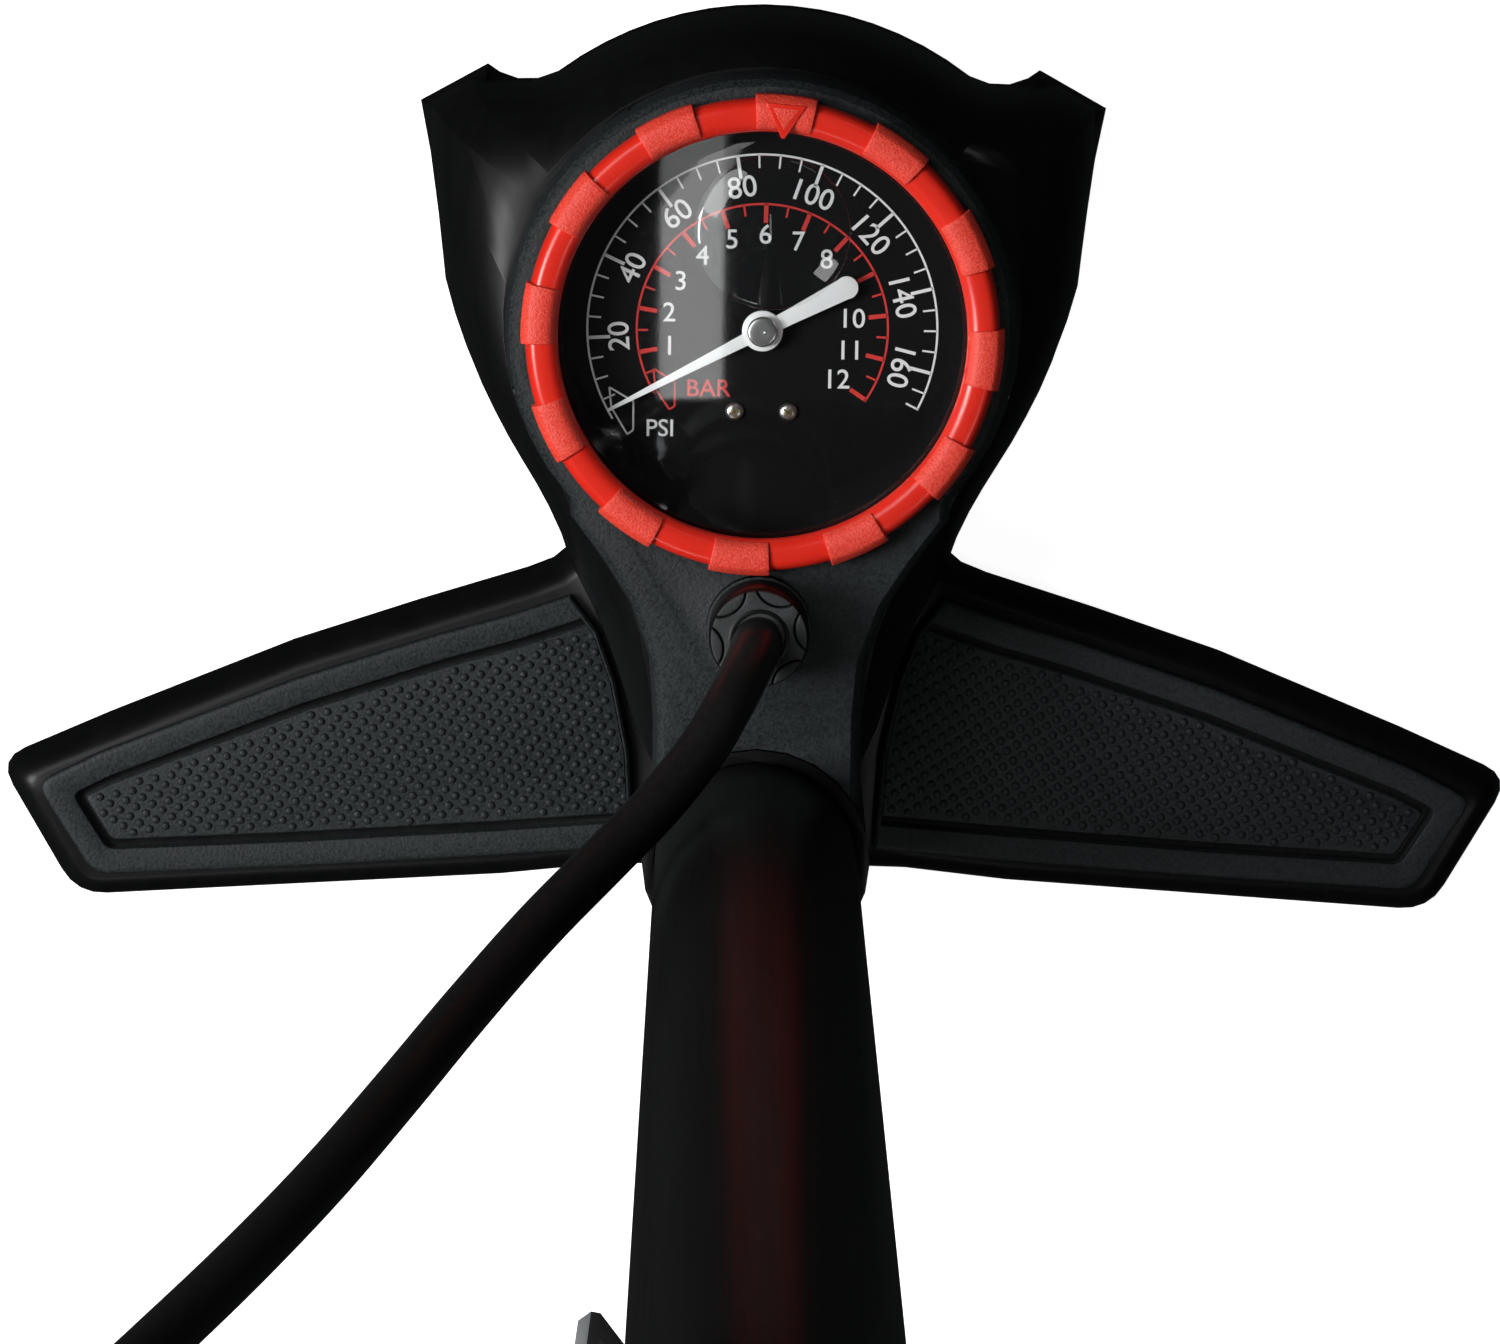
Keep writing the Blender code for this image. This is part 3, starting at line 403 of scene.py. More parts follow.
def made(name, mesh, finish, at=(0, 0, 0), turn=0.0, bevel=0.0, sharp=SHARP):
    """A piece from a bmesh in millimetres, turned about Z in degrees, then set at a point."""
    mesh.transform(Matrix.Translation(Vector(at)) @ Matrix.Rotation(math.radians(turn), 4, "Z"))
    bmesh.ops.scale(mesh, vec=(MM, MM, MM), verts=mesh.verts)
    bmesh.ops.recalc_face_normals(mesh, faces=mesh.faces)
    data = bpy.data.meshes.new(name)
    mesh.to_mesh(data)
    mesh.free()
    piece = new_piece(name, data, finish, sharp)
    return bevelled(piece, bevel, 3, sharp) if bevel else piece


def bevelled(piece, width_mm, segments, sharp):
    """The piece with its hard edges rounded."""
    step = piece.modifiers.new("edge", "BEVEL")
    step.width = width_mm * MM
    step.segments = segments
    step.limit_method = "ANGLE"
    step.angle_limit = math.radians(34.0)
    step.harden_normals = False
    return settled(piece, sharp)


def settled(piece, sharp):
    """Turns a piece and its modifiers into one plain mesh."""
    bpy.context.view_layer.update()
    graph = bpy.context.evaluated_depsgraph_get()
    data = bpy.data.meshes.new_from_object(piece.evaluated_get(graph))
    piece.modifiers.clear()
    old = piece.data
    piece.data = data
    data.name = piece.name
    bpy.data.meshes.remove(old)
    shaded(data, sharp)
    return piece


def stands_for(piece, node):
    """The piece rides with a CAD node's body and hides the node."""
    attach(piece, BODY_OF[node])
    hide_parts(node)
    return piece


def beside(piece, node):
    """An extra piece on the body of a CAD node."""
    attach(piece, BODY_OF[node])
    return piece


def refined(node, finish, bevel, sharp=SHARP):
    """A merged copy of a CAD node with eased edges."""
    mesh = bmesh.new()
    mesh.from_mesh(frame["nodes"][node].data)
    bmesh.ops.remove_doubles(mesh, verts=mesh.verts, dist=1e-6)
    bmesh.ops.dissolve_limit(mesh, angle_limit=math.radians(1.0), verts=mesh.verts, edges=mesh.edges)
    data = bpy.data.meshes.new("fine_" + node)
    mesh.to_mesh(data)
    mesh.free()
    piece = new_piece("fine_" + node, data, finish, sharp)
    bevelled(piece, bevel, 2, sharp)
    return stands_for(piece, node)


# ---------------------------------------------------------------- base
PAD_OUTLINE = [(23.5, -6.9), (50.0, -9.0), (90.0, -11.7), (129.6, -13.8), (140.8, 4.4), (128.0, 10.8),
               (90.0, 25.8), (62.0, 35.0), (48.0, 39.0), (36.4, 43.0), (31.0, 36.0), (27.4, 26.0),
               (24.6, 12.0)]
TIP_START = 128.5            # outline points further out than this are a pedal's tip corners
PAD_INNER = 37.0             # edges with no end further out than this lie against the mound
TIP_ROUND = 3.4
FIELD_DEPTH = 0.9
FIELD_INSET = 6.9
DIMPLE_PITCH = 2.3
DIMPLE_SLANT = math.radians(33.3)
DIMPLE_R = 0.84


def make_base():
    refined("base_body", BLACK, 0.5, 40.0)
    refined("gauge_housing", GREY, 0.5, 40.0)


def inside(outline, x, y):
    """True where a point lies within an outline, by counting crossed edges."""
    hit = False
    for i, (x1, y1) in enumerate(outline):
        x0, y0 = outline[i - 1]
        if (y0 > y) != (y1 > y) and x < x0 + (y - y0) * (x1 - x0) / (y1 - y0):
            hit = not hit
    return hit


def dimple_tree(dome):
    """Geometry nodes: a dome on every point of the input mesh."""
    tree = bpy.data.node_groups.new("dimples", "GeometryNodeTree")
    tree.interface.new_socket("Geometry", in_out="INPUT", socket_type="NodeSocketGeometry")
    tree.interface.new_socket("Dome size", in_out="INPUT", socket_type="NodeSocketFloat")
    tree.interface.new_socket("Geometry", in_out="OUTPUT", socket_type="NodeSocketGeometry")
    start = tree.nodes.new("NodeGroupInput")
    points = tree.nodes.new("GeometryNodeMeshToPoints")
    shape = tree.nodes.new("GeometryNodeObjectInfo")
    shape.inputs["Object"].default_value = dome
    place = tree.nodes.new("GeometryNodeInstanceOnPoints")
    real = tree.nodes.new("GeometryNodeRealizeInstances")
    coat = tree.nodes.new("GeometryNodeSetMaterial")
    coat.inputs["Material"].default_value = TREAD
    end = tree.nodes.new("NodeGroupOutput")
    for one, two in (((start, 0), (points, 0)), ((points, 0), (place, "Points")),
                     ((shape, "Geometry"), (place, "Instance")), ((start, 1), (place, "Scale")),
                     ((place, 0), (real, 0)), ((real, 0), (coat, 0)), ((coat, 0), (end, 0))):
        tree.links.new(one[0].outputs[one[1]], two[0].inputs[two[1]])
    return tree


def pad_ring(drawn):
    """The right pad's outline drawn in on three sides; the side against the mound hardly moves."""
    edges = []
    for i, here in enumerate(PAD_OUTLINE):
        after = PAD_OUTLINE[(i + 1) % len(PAD_OUTLINE)]
        way = (Vector(after) - Vector(here)).normalized()
        outer = max(here[0], after[0]) > PAD_INNER
        distance = drawn if outer else min(drawn, 0.5 + 0.1 * drawn)
        edges.append((Vector(here) + Vector((-way.y, way.x)) * distance, way))
    sharp = []
    for i, (point, way) in enumerate(edges):
        other, heading = edges[i - 1]
        cross = heading.cross(way)
        along = (point - other).cross(way) / cross if abs(cross) > 0.02 else 0.0
        sharp.append(other + heading * along if abs(cross) > 0.02 else point)
    tips = [i for i, p in enumerate(PAD_OUTLINE) if p[0] > TIP_START]
    return rounded(sharp, tips, TIP_ROUND - 0.3 * drawn)


def rounded(outline, corners, reach):
    """An outline with some corners eased over a reach."""
    out = []
    for i, here in enumerate(outline):
        if i not in corners:
            out.append(tuple(here))
            continue
        start = here + (outline[i - 1] - here).normalized() * reach
        end = here + (outline[(i + 1) % len(outline)] - here).normalized() * reach
        for t in (step / 6 for step in range(7)):
            out.append(tuple(start * (1 - t) ** 2 + here * 2 * t * (1 - t) + end * t * t))
    return out


def make_pedal(side, label, dome):
    """Plate with a rounded rim on three sides, a groove whose floor is painted black as painted shade, a
    recessed field and rows of domes.
    """
    node = "pedal_pad_" + label
    low, high = in_mm(node)
    floor, top = high.z - FIELD_DEPTH, high.z
    steps = ((low.z, 0.0), (top - 1.0, 0.0), (top - 0.35, 0.2), (top - 0.08, 0.6), (top, 1.2),
             (top, 4.7), (top - 0.15, 5.0), (floor - 1.0, 5.3), (floor - 1.0, 6.5), (floor - 0.15, 6.8),
             (floor, 7.0))
    plate = loft([[Vector((side * x, y, z)) for x, y in pad_ring(drawn)] for z, drawn in steps])
    piece = made("tread_plate_" + label, plate, [GREY, BLACK], bevel=0.1)
    # The groove floor takes the black finish: painted shade in the narrow groove.
    for face in piece.data.polygons:
        if face.normal.z > 0.5 and face.center.z < (floor - 0.3) * MM:
            face.material_index = 1
    stands_for(piece, node)

    field = pad_ring(FIELD_INSET + DIMPLE_R)
    spots = bmesh.new()
    slant = Matrix.Rotation(DIMPLE_SLANT, 2)
    for row in range(-70, 70):
        for column in range(0, 80):
            x, y = slant @ Vector((column, row)) * DIMPLE_PITCH
            if inside(field, x, y):
                spots.verts.new(Vector((side * x, y, floor)) * MM)
    data = bpy.data.meshes.new("spots")
    spots.to_mesh(data)
    spots.free()
    domes = new_piece("tread_domes_" + label, data, TREAD, ALL_SMOOTH)
    step = domes.modifiers.new("dimples", "NODES")
    step.node_group = dimple_tree(dome)
    size = next(s.identifier for s in step.node_group.interface.items_tree if s.name == "Dome size")
    step[size] = 1.0
    beside(settled(domes, ALL_SMOOTH), node)


def make_pedals():
    """Both tread plates, and the dome that the tree repeats."""
    rings = [(DIMPLE_R, -0.05), (DIMPLE_R, 0.05), (DIMPLE_R * 0.82, 0.27), (DIMPLE_R * 0.42, 0.43)]
    mesh = turned(rings, 8)
    bmesh.ops.scale(mesh, vec=(MM, MM, MM), verts=mesh.verts)
    data = bpy.data.meshes.new("dome")
    mesh.to_mesh(data)
    mesh.free()
    data.shade_smooth()
    dome = bpy.data.objects.new("dome", data)
    for side, label in ((1, "right"), (-1, "left")):
        make_pedal(side, label, dome)
    bpy.data.objects.remove(dome)


# ---------------------------------------------------------------- gauge
PSI_ZERO = -121.6            # degrees clockwise from the top of the dial
PSI_STEP = 1.41              # degrees for each psi
BAR_STEP = 20.45             # degrees for each bar
PSI_END = 169
BAR_END = 12.05
PSI_RING = 32.6
BAR_RING = 23.4
DIAL_R = 39.4
PRINT_RISE = 0.06
THIN = 0.38                  # width of a printed scale line


def dial_point(angle, radius):
    """A point on the dial from degrees clockwise of the top."""
    return radius * math.sin(math.radians(angle)), radius * math.cos(math.radians(angle))


def band(start, end, radius, width, z):
    """A printed arc."""
    steps = max(4, int(abs(end - start) / 2))
    outer = [dial_point(start + (end - start) * i / steps, radius + width / 2) for i in range(steps + 1)]
    inner = [dial_point(start + (end - start) * i / steps, radius - width / 2) for i in range(steps + 1)]
    return prism(inner + outer[::-1], z, z + PRINT_RISE)


def stroke(one, two, width, z):
    """A printed straight line between two points."""
    along = (Vector(two) - Vector(one)).normalized()
    side = Vector((-along.y, along.x)) * width / 2
    return prism([tuple(Vector(one) - side), tuple(Vector(two) - side), tuple(Vector(two) + side),
                  tuple(Vector(one) + side)], z, z + PRINT_RISE)


def tick(angle, radius, length, width, z):
    """A scale mark from a ring inwards."""
    return stroke(dial_point(angle, radius), dial_point(angle, radius - length), width, z)


def lettering(text, height, at, turn, z):
    """A word or number as a thin solid, centred on a point and turned clockwise in degrees."""
    curve = bpy.data.curves.new("text", "FONT")
    curve.body = text
    curve.align_x = "CENTER"
    curve.align_y = "CENTER"
    curve.size = height * 1.38
    curve.offset = 0.008 * height
    curve.extrude = PRINT_RISE / 2
    curve.resolution_u = 4
    holder = bpy.data.objects.new("text", curve)
    bpy.context.scene.collection.objects.link(holder)
    graph = bpy.context.evaluated_depsgraph_get()
    data = bpy.data.meshes.new_from_object(holder.evaluated_get(graph))
    mesh = bmesh.new()
    mesh.from_mesh(data)
    bmesh.ops.remove_doubles(mesh, verts=mesh.verts, dist=1e-5)
    mesh.transform(Matrix.Translation((at[0], at[1], z + PRINT_RISE / 2))
                   @ Matrix.Rotation(-math.radians(turn), 4, "Z"))
    bpy.data.objects.remove(holder)
    bpy.data.meshes.remove(data)
    return mesh


def zero_box(points, z):
    """The pen lines round a scale's zero."""
    closed = points + points[:1]
    return [stroke(a, b, 0.34, z) for a, b in zip(closed, closed[1:])]


def make_dial():
    """Dial plate with two scales, their numbers and zero boxes printed on it."""
    z = DIAL_HIGH.z
    white = [band(PSI_ZERO, PSI_ZERO + PSI_STEP * PSI_END, PSI_RING, THIN, z)]
    for psi in range(5, 170, 5):
        major = psi % 20 == 0
        white.append(tick(PSI_ZERO + PSI_STEP * psi, PSI_RING, 4.2 if major else 2.5,
                          0.62 if major else 0.34, z))
    for psi in range(20, 180, 20):
        angle = PSI_ZERO + PSI_STEP * psi
        white.append(lettering(str(psi), 4.1, dial_point(angle, 26.6), angle, z))
    for bar in range(1, 13):
        angle = PSI_ZERO + BAR_STEP * bar
        radius = 17.6 if bar < 10 else 16.8
        white.append(lettering(str(bar), 3.7, dial_point(angle, radius), 0, z))
    white += zero_box([(-28.4, -11.2), (-23.9, -13.8), (-23.9, -19.2), (-25.0, -20.0),
                       (-28.0, -15.0)], z)
    white.append(lettering("PSI", 3.3, (-18.9, -18.9), 0, z))
    white.append(tick(PSI_ZERO + PSI_STEP * PSI_END, PSI_RING + 0.2, 2.6, THIN, z))
    red = [band(PSI_ZERO, PSI_ZERO + BAR_STEP * BAR_END, BAR_RING, THIN, z)]
    for half in range(1, 25):
        major = half % 2 == 0
        red.append(tick(PSI_ZERO + BAR_STEP * half / 2, BAR_RING, 3.5 if major else 2.1,
                        0.8 if major else 0.36, z))
    red += zero_box([(-20.2, -7.6), (-16.2, -10.0), (-16.2, -14.6), (-17.2, -15.2),
                     (-19.8, -11.4)], z)
    red.append(lettering("BAR", 3.3, (-10.0, -11.3), 0, z))
    for name, marks, finish in (("dial_print_white", white, PRINT_WHITE),
                                ("dial_print_red", red, PRINT_RED)):
        piece = made(name, merged(marks), finish, at=(GAUGE.x, GAUGE.y, 0), sharp=30)
        beside(piece, "gauge_dial")
    disc = turned([(DIAL_R, DIAL_LOW.z), (DIAL_R, z - 0.1), (DIAL_R - 0.1, z)], 128)
    stands_for(made("dial_face", disc, DIAL, at=(GAUGE.x, GAUGE.y, 0)), "gauge_dial")


def make_dial_screws():
    """Small pan heads with a cross recess."""
    for label, spin in (("left", 20), ("right", 55)):
        node = "dial_screw_" + label
        low, high = in_mm(node)
        center = (low + high) / 2
        z = DIAL_HIGH.z
        head = turned([(1.0, z - 3.0), (1.0, z), (1.75, z + 0.05), (1.7, z + 0.5), (1.3, z + 0.9),
                       (0.7, z + 1.08)], 32)
        slots = []
        for angle in (0, 90):
            bar = prism([(-1.05, -0.2), (1.05, -0.2), (1.05, 0.2), (-1.05, 0.2)], z + 0.7, z + 1.12)
            bar.transform(Matrix.Rotation(math.radians(angle), 4, "Z"))
            slots.append(bar)
        at = (center.x, center.y, 0)
        stands_for(made("fine_" + node, head, STEEL, at=at, sharp=50), node)
        beside(made("recess_" + node, merged(slots), BRASS, at=at, turn=spin), node)


NEEDLE_TURN = 118.0          # degrees anticlockwise of +Y at zero pressure


def make_needle():
    """Tapered white needle with a rounded tail, a disc and a steel hub cap."""
    z = in_mm("needle")[0].z + 0.1
    blade = [(-0.28, 32.4), (-1.15, 4.0), (-1.45, -6.0), (-1.95, -15.5)]
    blade += arc((0, -17.6), 2.15, 160, 380, 18)
    blade += [(1.95, -15.5), (1.45, -6.0), (1.15, 4.0), (0.28, 32.4)]
    shape = prism(blade, z, z + 0.5)
    disc = turned([(3.8, z - 0.1), (3.8, z + 0.5), (3.6, z + 0.62)], 64)
    at = (GAUGE.x, GAUGE.y, 0)
    blade_piece = made("needle_blade", merged([shape, disc]), WHITE, at=at, turn=NEEDLE_TURN, bevel=0.06)
    stands_for(blade_piece, "needle")
    low, high = in_mm("needle_hub")
    cap = turned([(2.8, low.z), (2.8, high.z - 0.35), (2.62, high.z - 0.1), (2.4, high.z), (1.5, high.z),
                  (0.45, high.z), (0.3, high.z - 0.3)], 64)
    stands_for(made("hub_cap", cap, STEEL, at=at, sharp=40), "needle_hub")


LUGS = 12
LUG_TURN = -5.0              # degrees anticlockwise of +Y to the pointer's lug
LUG_HALF = 7.4


def make_bezel():
    """Red ring with raised grained lugs and a pointer on the top one."""
    z = BEZEL_LOW.z
    at = (GAUGE.x, GAUGE.y, 0)
    profile = [(41.3, z), (43.4, z), (43.8, z + 0.6), (43.9, z + 2.0), (43.7, z + 3.4), (43.2, z + 4.5),
               (42.5, z + 5.05), (41.8, z + 5.2), (40.0, z + 5.2), (39.2, z + 4.95), (38.3, z + 4.3),
               (37.85, z + 3.5), (37.75, z + 3.0), (37.8, z + 2.3), (41.3, z + 2.3)]
    stands_for(made("bezel", turned(profile, 192, closed=True), RED, at=at, sharp=50), "bezel_ring")
    section = [(42.0, z + 0.6), (44.6, z + 0.6), (44.7, z + 1.0), (44.65, z + 3.9), (43.5, z + 5.5),
               (42.9, z + 5.85), (40.1, z + 5.85), (39.2, z + 5.5), (38.4, z + 4.7), (38.2, z + 4.0),
               (40.0, z + 3.2)]
    lugs = []
    for i in range(LUGS):
        middle = 90.0 + LUG_TURN + 360.0 / LUGS * i
        lugs.append(swept(section, middle - LUG_HALF, middle + LUG_HALF, 8))
    beside(made("bezel_lugs", merged(lugs), RED_GRAIN, at=at, bevel=0.22, sharp=40), "bezel_ring")
    arrow = [(-3.7, 43.1), (-0.3, 36.9), (0.3, 36.9), (3.7, 43.1)]
    pointer = prism(arrow, z + 4.4, z + 6.15)
    beside(made("bezel_pointer", pointer, RED, at=at, turn=LUG_TURN, bevel=0.14), "bezel_ring")
    dip = prism([(-2.4, 42.4), (-0.1, 38.6), (0.1, 38.6), (2.4, 42.4)], z + 5.9, z + 6.2)
    beside(made("bezel_pointer_face", dip, RED_GRAIN, at=at, turn=LUG_TURN, bevel=0.1), "bezel_ring")


LOUPE = (1.6, 19.2)
LOUPE_R = 14.4
LOUPE_CURVE = 44.0
LOUPE_RISE = 0.5


def make_window():
    """Flat clear disc with a raised clear dome, the loupe."""
    z = in_mm("gauge_window")[0].z + 1.5
    at = (GAUGE.x, GAUGE.y, 0)
    disc = turned([(40.9, z - 1.2), (40.9, z - 0.9), (38.6, z - 0.55), (37.6, z - 0.3), (36.6, z - 0.12),
                   (35.6, z - 0.03), (34.6, z), (30.0, z), (0.4, z)], 128)
    edge = math.asin(LOUPE_R / LOUPE_CURVE)
    base = z + LOUPE_RISE - LOUPE_CURVE * math.cos(edge)
    dome = [(LOUPE_R, z + 0.02), (LOUPE_R, z + 0.25), (LOUPE_R - 0.12, z + LOUPE_RISE)]
    for step in range(1, 14):
        angle = edge * (1 - step / 14)
        dome.append((LOUPE_CURVE * math.sin(angle), base + LOUPE_CURVE * math.cos(angle)))
    dome.append((0.02, base + LOUPE_CURVE))
    lens = turned(dome, 96)
    lens.transform(Matrix.Translation((*LOUPE, 0)))
    pane = made("window_pane", merged([disc, lens]), CLEAR, at=at, sharp=80)
    stands_for(pane, "gauge_window")


# ---------------------------------------------------------------- hose and nut
NUT_TIP = -10.0              # degrees clockwise of +Y to the star's first point
NUT_R = 8.9
SCALLOP_R = 5.1
SCALLOP_AT = 11.6
BORE_GAP = 0.25


def scallop(radius, steps):
    """The arc of one finger hollow, from its left end to its right, about +Y."""
    reach = (NUT_R ** 2 + SCALLOP_AT ** 2 - radius ** 2) / (2 * NUT_R * SCALLOP_AT)
    edge = math.acos(reach)
    left = Vector((-NUT_R * math.sin(edge), NUT_R * math.cos(edge) - SCALLOP_AT))
    half = math.degrees(math.atan2(-left.x, -left.y))
    return arc((0, SCALLOP_AT), radius, 270 - half, 270 + half, steps), math.degrees(edge)


def make_nut():
    """Hand nut: a gloss body, a six-pointed star with hollow sides and a lens-shaped fill in each."""
    z, top = NUT_LOW.z, NUT_HIGH.z
    bore = HOSE_R + BORE_GAP
    body = turned([(9.0, z), (9.3, z + 0.6), (9.3, top - 2.4), (8.9, top - 1.7), (bore, top - 1.7),
                   (bore, z)], 96, closed=True)
    hollow = scallop(SCALLOP_R, 12)[0]
    outline = []
    for i in range(6):
        turn = Matrix.Rotation(math.radians(60 * i), 2)
        outline += [tuple(turn @ Vector(p)) for p in hollow[::-1]]
    star = prism(outline, top - 2.2, top - 0.35)
    inner, edge = scallop(SCALLOP_R - 0.4, 10)
    rim = arc((0, 0), NUT_R, 90 - edge, 90 + edge, 8)[1:-1]
    fills = []
    for i in range(6):
        fill = prism(inner + rim, top - 2.2, top - 0.45)
        fill.transform(Matrix.Rotation(math.radians(60 * i), 4, "Z"))
        fills.append(fill)
    boot = turned([(5.6, top - 1.8), (5.6, top - 0.15), (5.3, top), (bore, top), (bore, top - 1.8)],
                  64, closed=True)
    at = (NUT.x, NUT.y, 0)
    turn = 30.0 - NUT_TIP
    stands_for(made("nut_body", body, BLACK, at=at), "hose_nut")
    # The star and fills take the lighter nut grey, which is painted light.
    beside(made("nut_star", star, NUT_GREY_PAINTED_LIT, at=at, turn=turn, bevel=0.2), "hose_nut")
    beside(made("nut_fills", merged(fills), NUT_GREY_PAINTED_LIT, at=at, turn=turn, bevel=0.22), "hose_nut")
    beside(made("nut_collar", boot, BLACK, at=at), "hose_nut")
    base_z = in_mm("gauge_housing")[1].z
    boss = turned([(9.85, base_z - 2.5), (9.85, base_z - 0.6), (9.5, base_z - 0.05), (9.2, base_z + 0.03),
                   (5.0, base_z + 0.03)], 96)
    beside(made("nut_boss_shell", boss, BLACK, at=at), "base_body")


def path_length(points):
    return sum((b - a).length for a, b in zip(points, points[1:]))


def make_hose():
    """The hose from the nut to the parked head."""
    points = [p * MM for p in smooth_path(HOSE_ROUTE, 6)]
    curve = bpy.data.curves.new("rubber_hose", "CURVE")
    curve.dimensions = "3D"
    curve.bevel_depth = HOSE_R * MM
    curve.bevel_resolution = 8
    curve.use_fill_caps = True
    spline = curve.splines.new("POLY")
    spline.points.add(len(points) - 1)
    for point, place in zip(spline.points, points):
        point.co = (*place, 1.0)
    curve.materials.append(RUBBER)
    hose = bpy.data.objects.new("rubber_hose", curve)
    bpy.context.scene.collection.objects.link(hose)
    stands_for(hose, "hose")
    head = [frame["nodes"]["head_plunger"]] + HEAD_PIECES
    round(path_length(points), 3)


# ---------------------------------------------------------------- barrel, handle and head
BARREL_BORE = 17.5
CAP_R = 22.5
CAP_BORE = 19.3
CAP_NECK = 8.3
CAP_SEAT = 545.3             # height at which the cap's inside meets the barrel's end
CAP_RIBS = 36


def make_barrel():
    """Barrel tube, its cap with ribs, and the piston rod."""
    low, high = BARREL_LOW.z, BARREL_HIGH.z
    wall = turned([(BARREL_R, low), (BARREL_R, high), (BARREL_BORE, high), (BARREL_BORE, low)],
                  128, closed=True)
    stands_for(made("barrel_tube", wall, LACQUER), "barrel")
    low, high = in_mm("barrel_cap")
    profile = [(CAP_BORE, low.z), (21.6, low.z), (22.2, low.z + 0.8), (CAP_R, low.z + 4.0),
               (CAP_R, high.z - 11.0), (21.9, high.z - 6.5), (19.8, high.z - 3.0), (16.0, high.z - 0.9),
               (12.0, high.z), (CAP_NECK, high.z), (CAP_NECK, CAP_SEAT), (CAP_BORE, CAP_SEAT)]
    stands_for(made("cap_shell", turned(profile, 96, closed=True), GREY, sharp=50), "barrel_cap")
    ribs = []
    for i in range(CAP_RIBS):
        rib = turned([(0.55, low.z + 5.0), (0.7, low.z + 6.0), (0.7, high.z - 12.5),
                      (0.5, high.z - 11.6)], 8)
        turn = Matrix.Rotation(math.tau * i / CAP_RIBS, 4, "Z")
        rib.transform(turn @ Matrix.Translation((CAP_R - 0.5, 0, 0)))
        ribs.append(rib)
    beside(made("cap_ribs", merged(ribs), GREY), "barrel_cap")
    low, high = in_mm("piston_rod")
    shaft = turned([(4.6, low.z), (5.0, low.z + 0.5), (5.0, high.z - 0.5), (4.6, high.z)], 64)
    stands_for(made("fine_piston_rod", shaft, STEEL), "piston_rod")


OVAL_STEPS = 64
GRIP_STEPS = 90
GRIP_GROOVES = 22            # to a whole grip, though only its middle half is grooved


def handle_oval(x, wide, tall, middle):
    """A ring across the handle at x, from its half width and half height."""
    angles = [math.tau * i / OVAL_STEPS for i in range(OVAL_STEPS)]
    return [Vector((x, wide * math.cos(a), middle + tall * math.sin(a))) for a in angles]


def make_grips():
    """Bulged rubber grips with raised end rings and a ribbed palm area."""
    for label, side in (("right", 1), ("left", -1)):
        node = "grip_" + label
        low, high = in_mm(node)
        middle = (low.z + high.z) / 2
        near, far = (low.x, high.x) if side > 0 else (-high.x, -low.x)
        outer = []
        for t in (i / GRIP_STEPS for i in range(GRIP_STEPS + 1)):
            swell = math.sin(math.pi * min(1.0, max(0.0, (t - 0.05) / 0.9))) ** 1.2
            wide, tall = 14.6 + 1.9 * swell, 11.9 + 2.0 * swell
            if t < 0.05 or t > 0.95:
                wide, tall = wide + 0.9, tall + 0.9
            elif 0.25 < t < 0.75:
                groove = 0.35 * (0.5 - 0.5 * math.cos(math.tau * (t - 0.25) * GRIP_GROOVES))
                wide, tall = wide - groove, tall - groove
            outer.append(handle_oval(side * (near + (far - near) * t), wide, tall, middle))
        inner = [handle_oval(side * x, 9.8, 7.8, middle) for x in (far, near)]
        piece = made("rubber_" + node, loft(outer + inner, closed=True), GRIP, sharp=50)
        stands_for(piece, node)


HEAD_PIECES = []


def make_rest():
    """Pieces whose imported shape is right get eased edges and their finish."""
    plain = {"handle_core": (BLACK, 0.9), "handle_screw": (STEEL, 0.4), "grip_cap_left": (GREY, 0.6),
             "grip_cap_right": (GREY, 0.6), "head_clip": (GREY, 0.4), "clip_screw": (STEEL, 0.2),
             "cap_bush": (RUBBER, 0.2)}
    for node, (finish, width) in plain.items():
        refined(node, finish, width)
    for node, finish, width in (("head_body", GREY, 0.5), ("head_cap", BLACK, 0.6),
                                ("head_lever", ALLOY, 0.7), ("lever_pin", STEEL, 0.2),
                                ("head_grommet", RUBBER, 0.2)):
        HEAD_PIECES.append(refined(node, finish, width))
    for name, node in frame["nodes"].items():
        if not node.hide_render:
            node.data.materials.clear()
            node.data.materials.append(SLOT_FINISH[SLOT_OF[name]])


# ---------------------------------------------------------------- stage, in metres
FOCAL_MM = 134.4
CAMERA_TILT = math.radians(10.521)
CAMERA_PLACE = (-0.0047, 0.2277, 1.0879)
CAMERA_YAW = -0.00347
VIEW_TURN = math.radians(0.7)
LIGHTS = {                   # place, point aimed at, size, watts
    "key": ((-1.06, 0.06, 0.98), (0, 0.05, 0.05), (0.5, 0.5), 21.0),
    "top": ((-0.62, 0.50, 1.10), (0, 0.08, 0.05), (0.62, 0.50), 4.4),
    "fill": ((0.62, -0.42, 1.10), (0, 0.08, 0.05), (0.26, 0.26), 1.0),
    "front": ((0.45, 0.95, 1.2), (0, 0.08, 0.05), (0.4, 0.3), 0.3),
    "strip": ((-0.024, -0.16, 2.0), (-0.024, 0.05, 0.0), (0.034, 0.8), 0.2),
    "rear": ((-0.35, -1.1, 1.0), (0, 0, 0.1), (0.5, 0.3), 2.0),
}


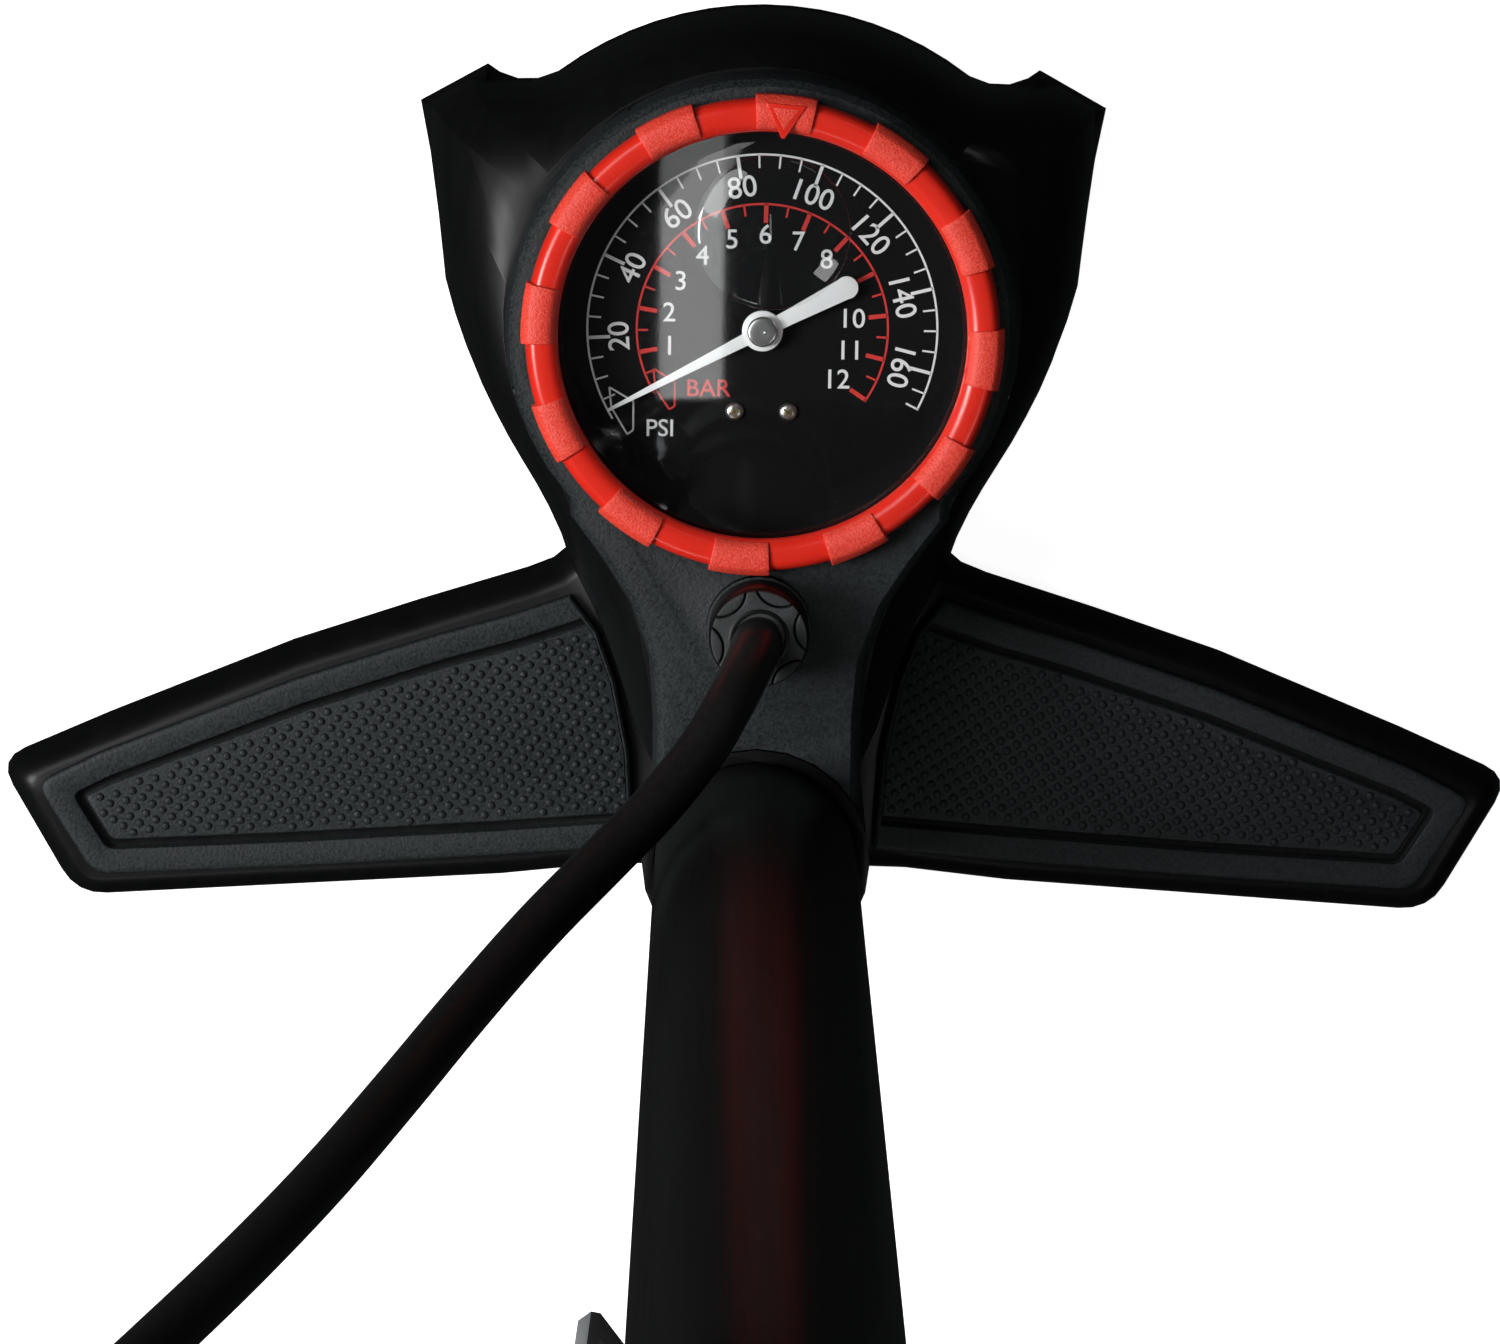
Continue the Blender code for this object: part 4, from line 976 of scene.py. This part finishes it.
def make_camera():
    """A long lens high over the gauge, tilted back towards the barrel."""
    data = bpy.data.cameras.new("camera")
    data.lens = FOCAL_MM
    data.sensor_width = 36.0
    data.clip_start = 0.01
    camera = bpy.data.objects.new("camera", data)
    bpy.context.scene.collection.objects.link(camera)
    place = Matrix.Translation(CAMERA_PLACE)
    aim = Matrix.Rotation(-CAMERA_TILT, 4, "X") @ Matrix.Rotation(CAMERA_YAW, 4, "Y")
    camera.matrix_world = Matrix.Rotation(VIEW_TURN, 4, "Z") @ place @ aim
    bpy.context.scene.camera = camera


def softbox(name, at, aim, size, power):
    data = bpy.data.lights.new(name, "AREA")
    data.shape = "RECTANGLE"
    data.size, data.size_y = size
    data.energy = power
    light = bpy.data.objects.new(name, data)
    bpy.context.scene.collection.objects.link(light)
    light.location = at
    light.rotation_euler = (Vector(aim) - Vector(at)).to_track_quat("-Z", "Y").to_euler()


def make_stage():
    """A world that is white only to the camera, a pale floor and the lights."""
    world = bpy.data.worlds.new("studio")
    bpy.context.scene.world = world
    world.use_nodes = True
    tree = world.node_tree
    seen = tree.nodes.new("ShaderNodeLightPath")
    shade = tree.nodes.new("ShaderNodeMix")
    shade.data_type = "RGBA"
    shade.inputs[6].default_value = (0.016, 0.017, 0.0175, 1)
    shade.inputs[7].default_value = (1, 1, 1, 1)
    tree.links.new(seen.outputs["Is Camera Ray"], shade.inputs[0])
    tree.links.new(shade.outputs[2], tree.nodes["Background"].inputs["Color"])

    ground = bmesh.new()
    bmesh.ops.create_grid(ground, x_segments=1, y_segments=1, size=6.0)
    data = bpy.data.meshes.new("floor")
    ground.to_mesh(data)
    ground.free()
    floor = bpy.data.objects.new("floor", data)
    bpy.context.scene.collection.objects.link(floor)
    floor.location.z = -0.0005
    pale = Finish("pale_floor", base_color=(0.75, 0.75, 0.75, 1), roughness=0.9)
    pale.feed("Emission Color", (1, 1, 1, 1)).feed("Emission Strength", 0.93)
    data.materials.append(pale.material)
    floor.visible_glossy = False
    floor.visible_diffuse = False

    for name, (at, aim, size, power) in LIGHTS.items():
        softbox(name, at, aim, size, power)
    bpy.context.scene.view_settings.view_transform = "Standard"


make_camera()
make_stage()
make_base()
make_pedals()
make_dial()
make_dial_screws()
make_needle()
make_bezel()
make_window()
make_nut()
make_barrel()
make_grips()
make_rest()
make_hose()
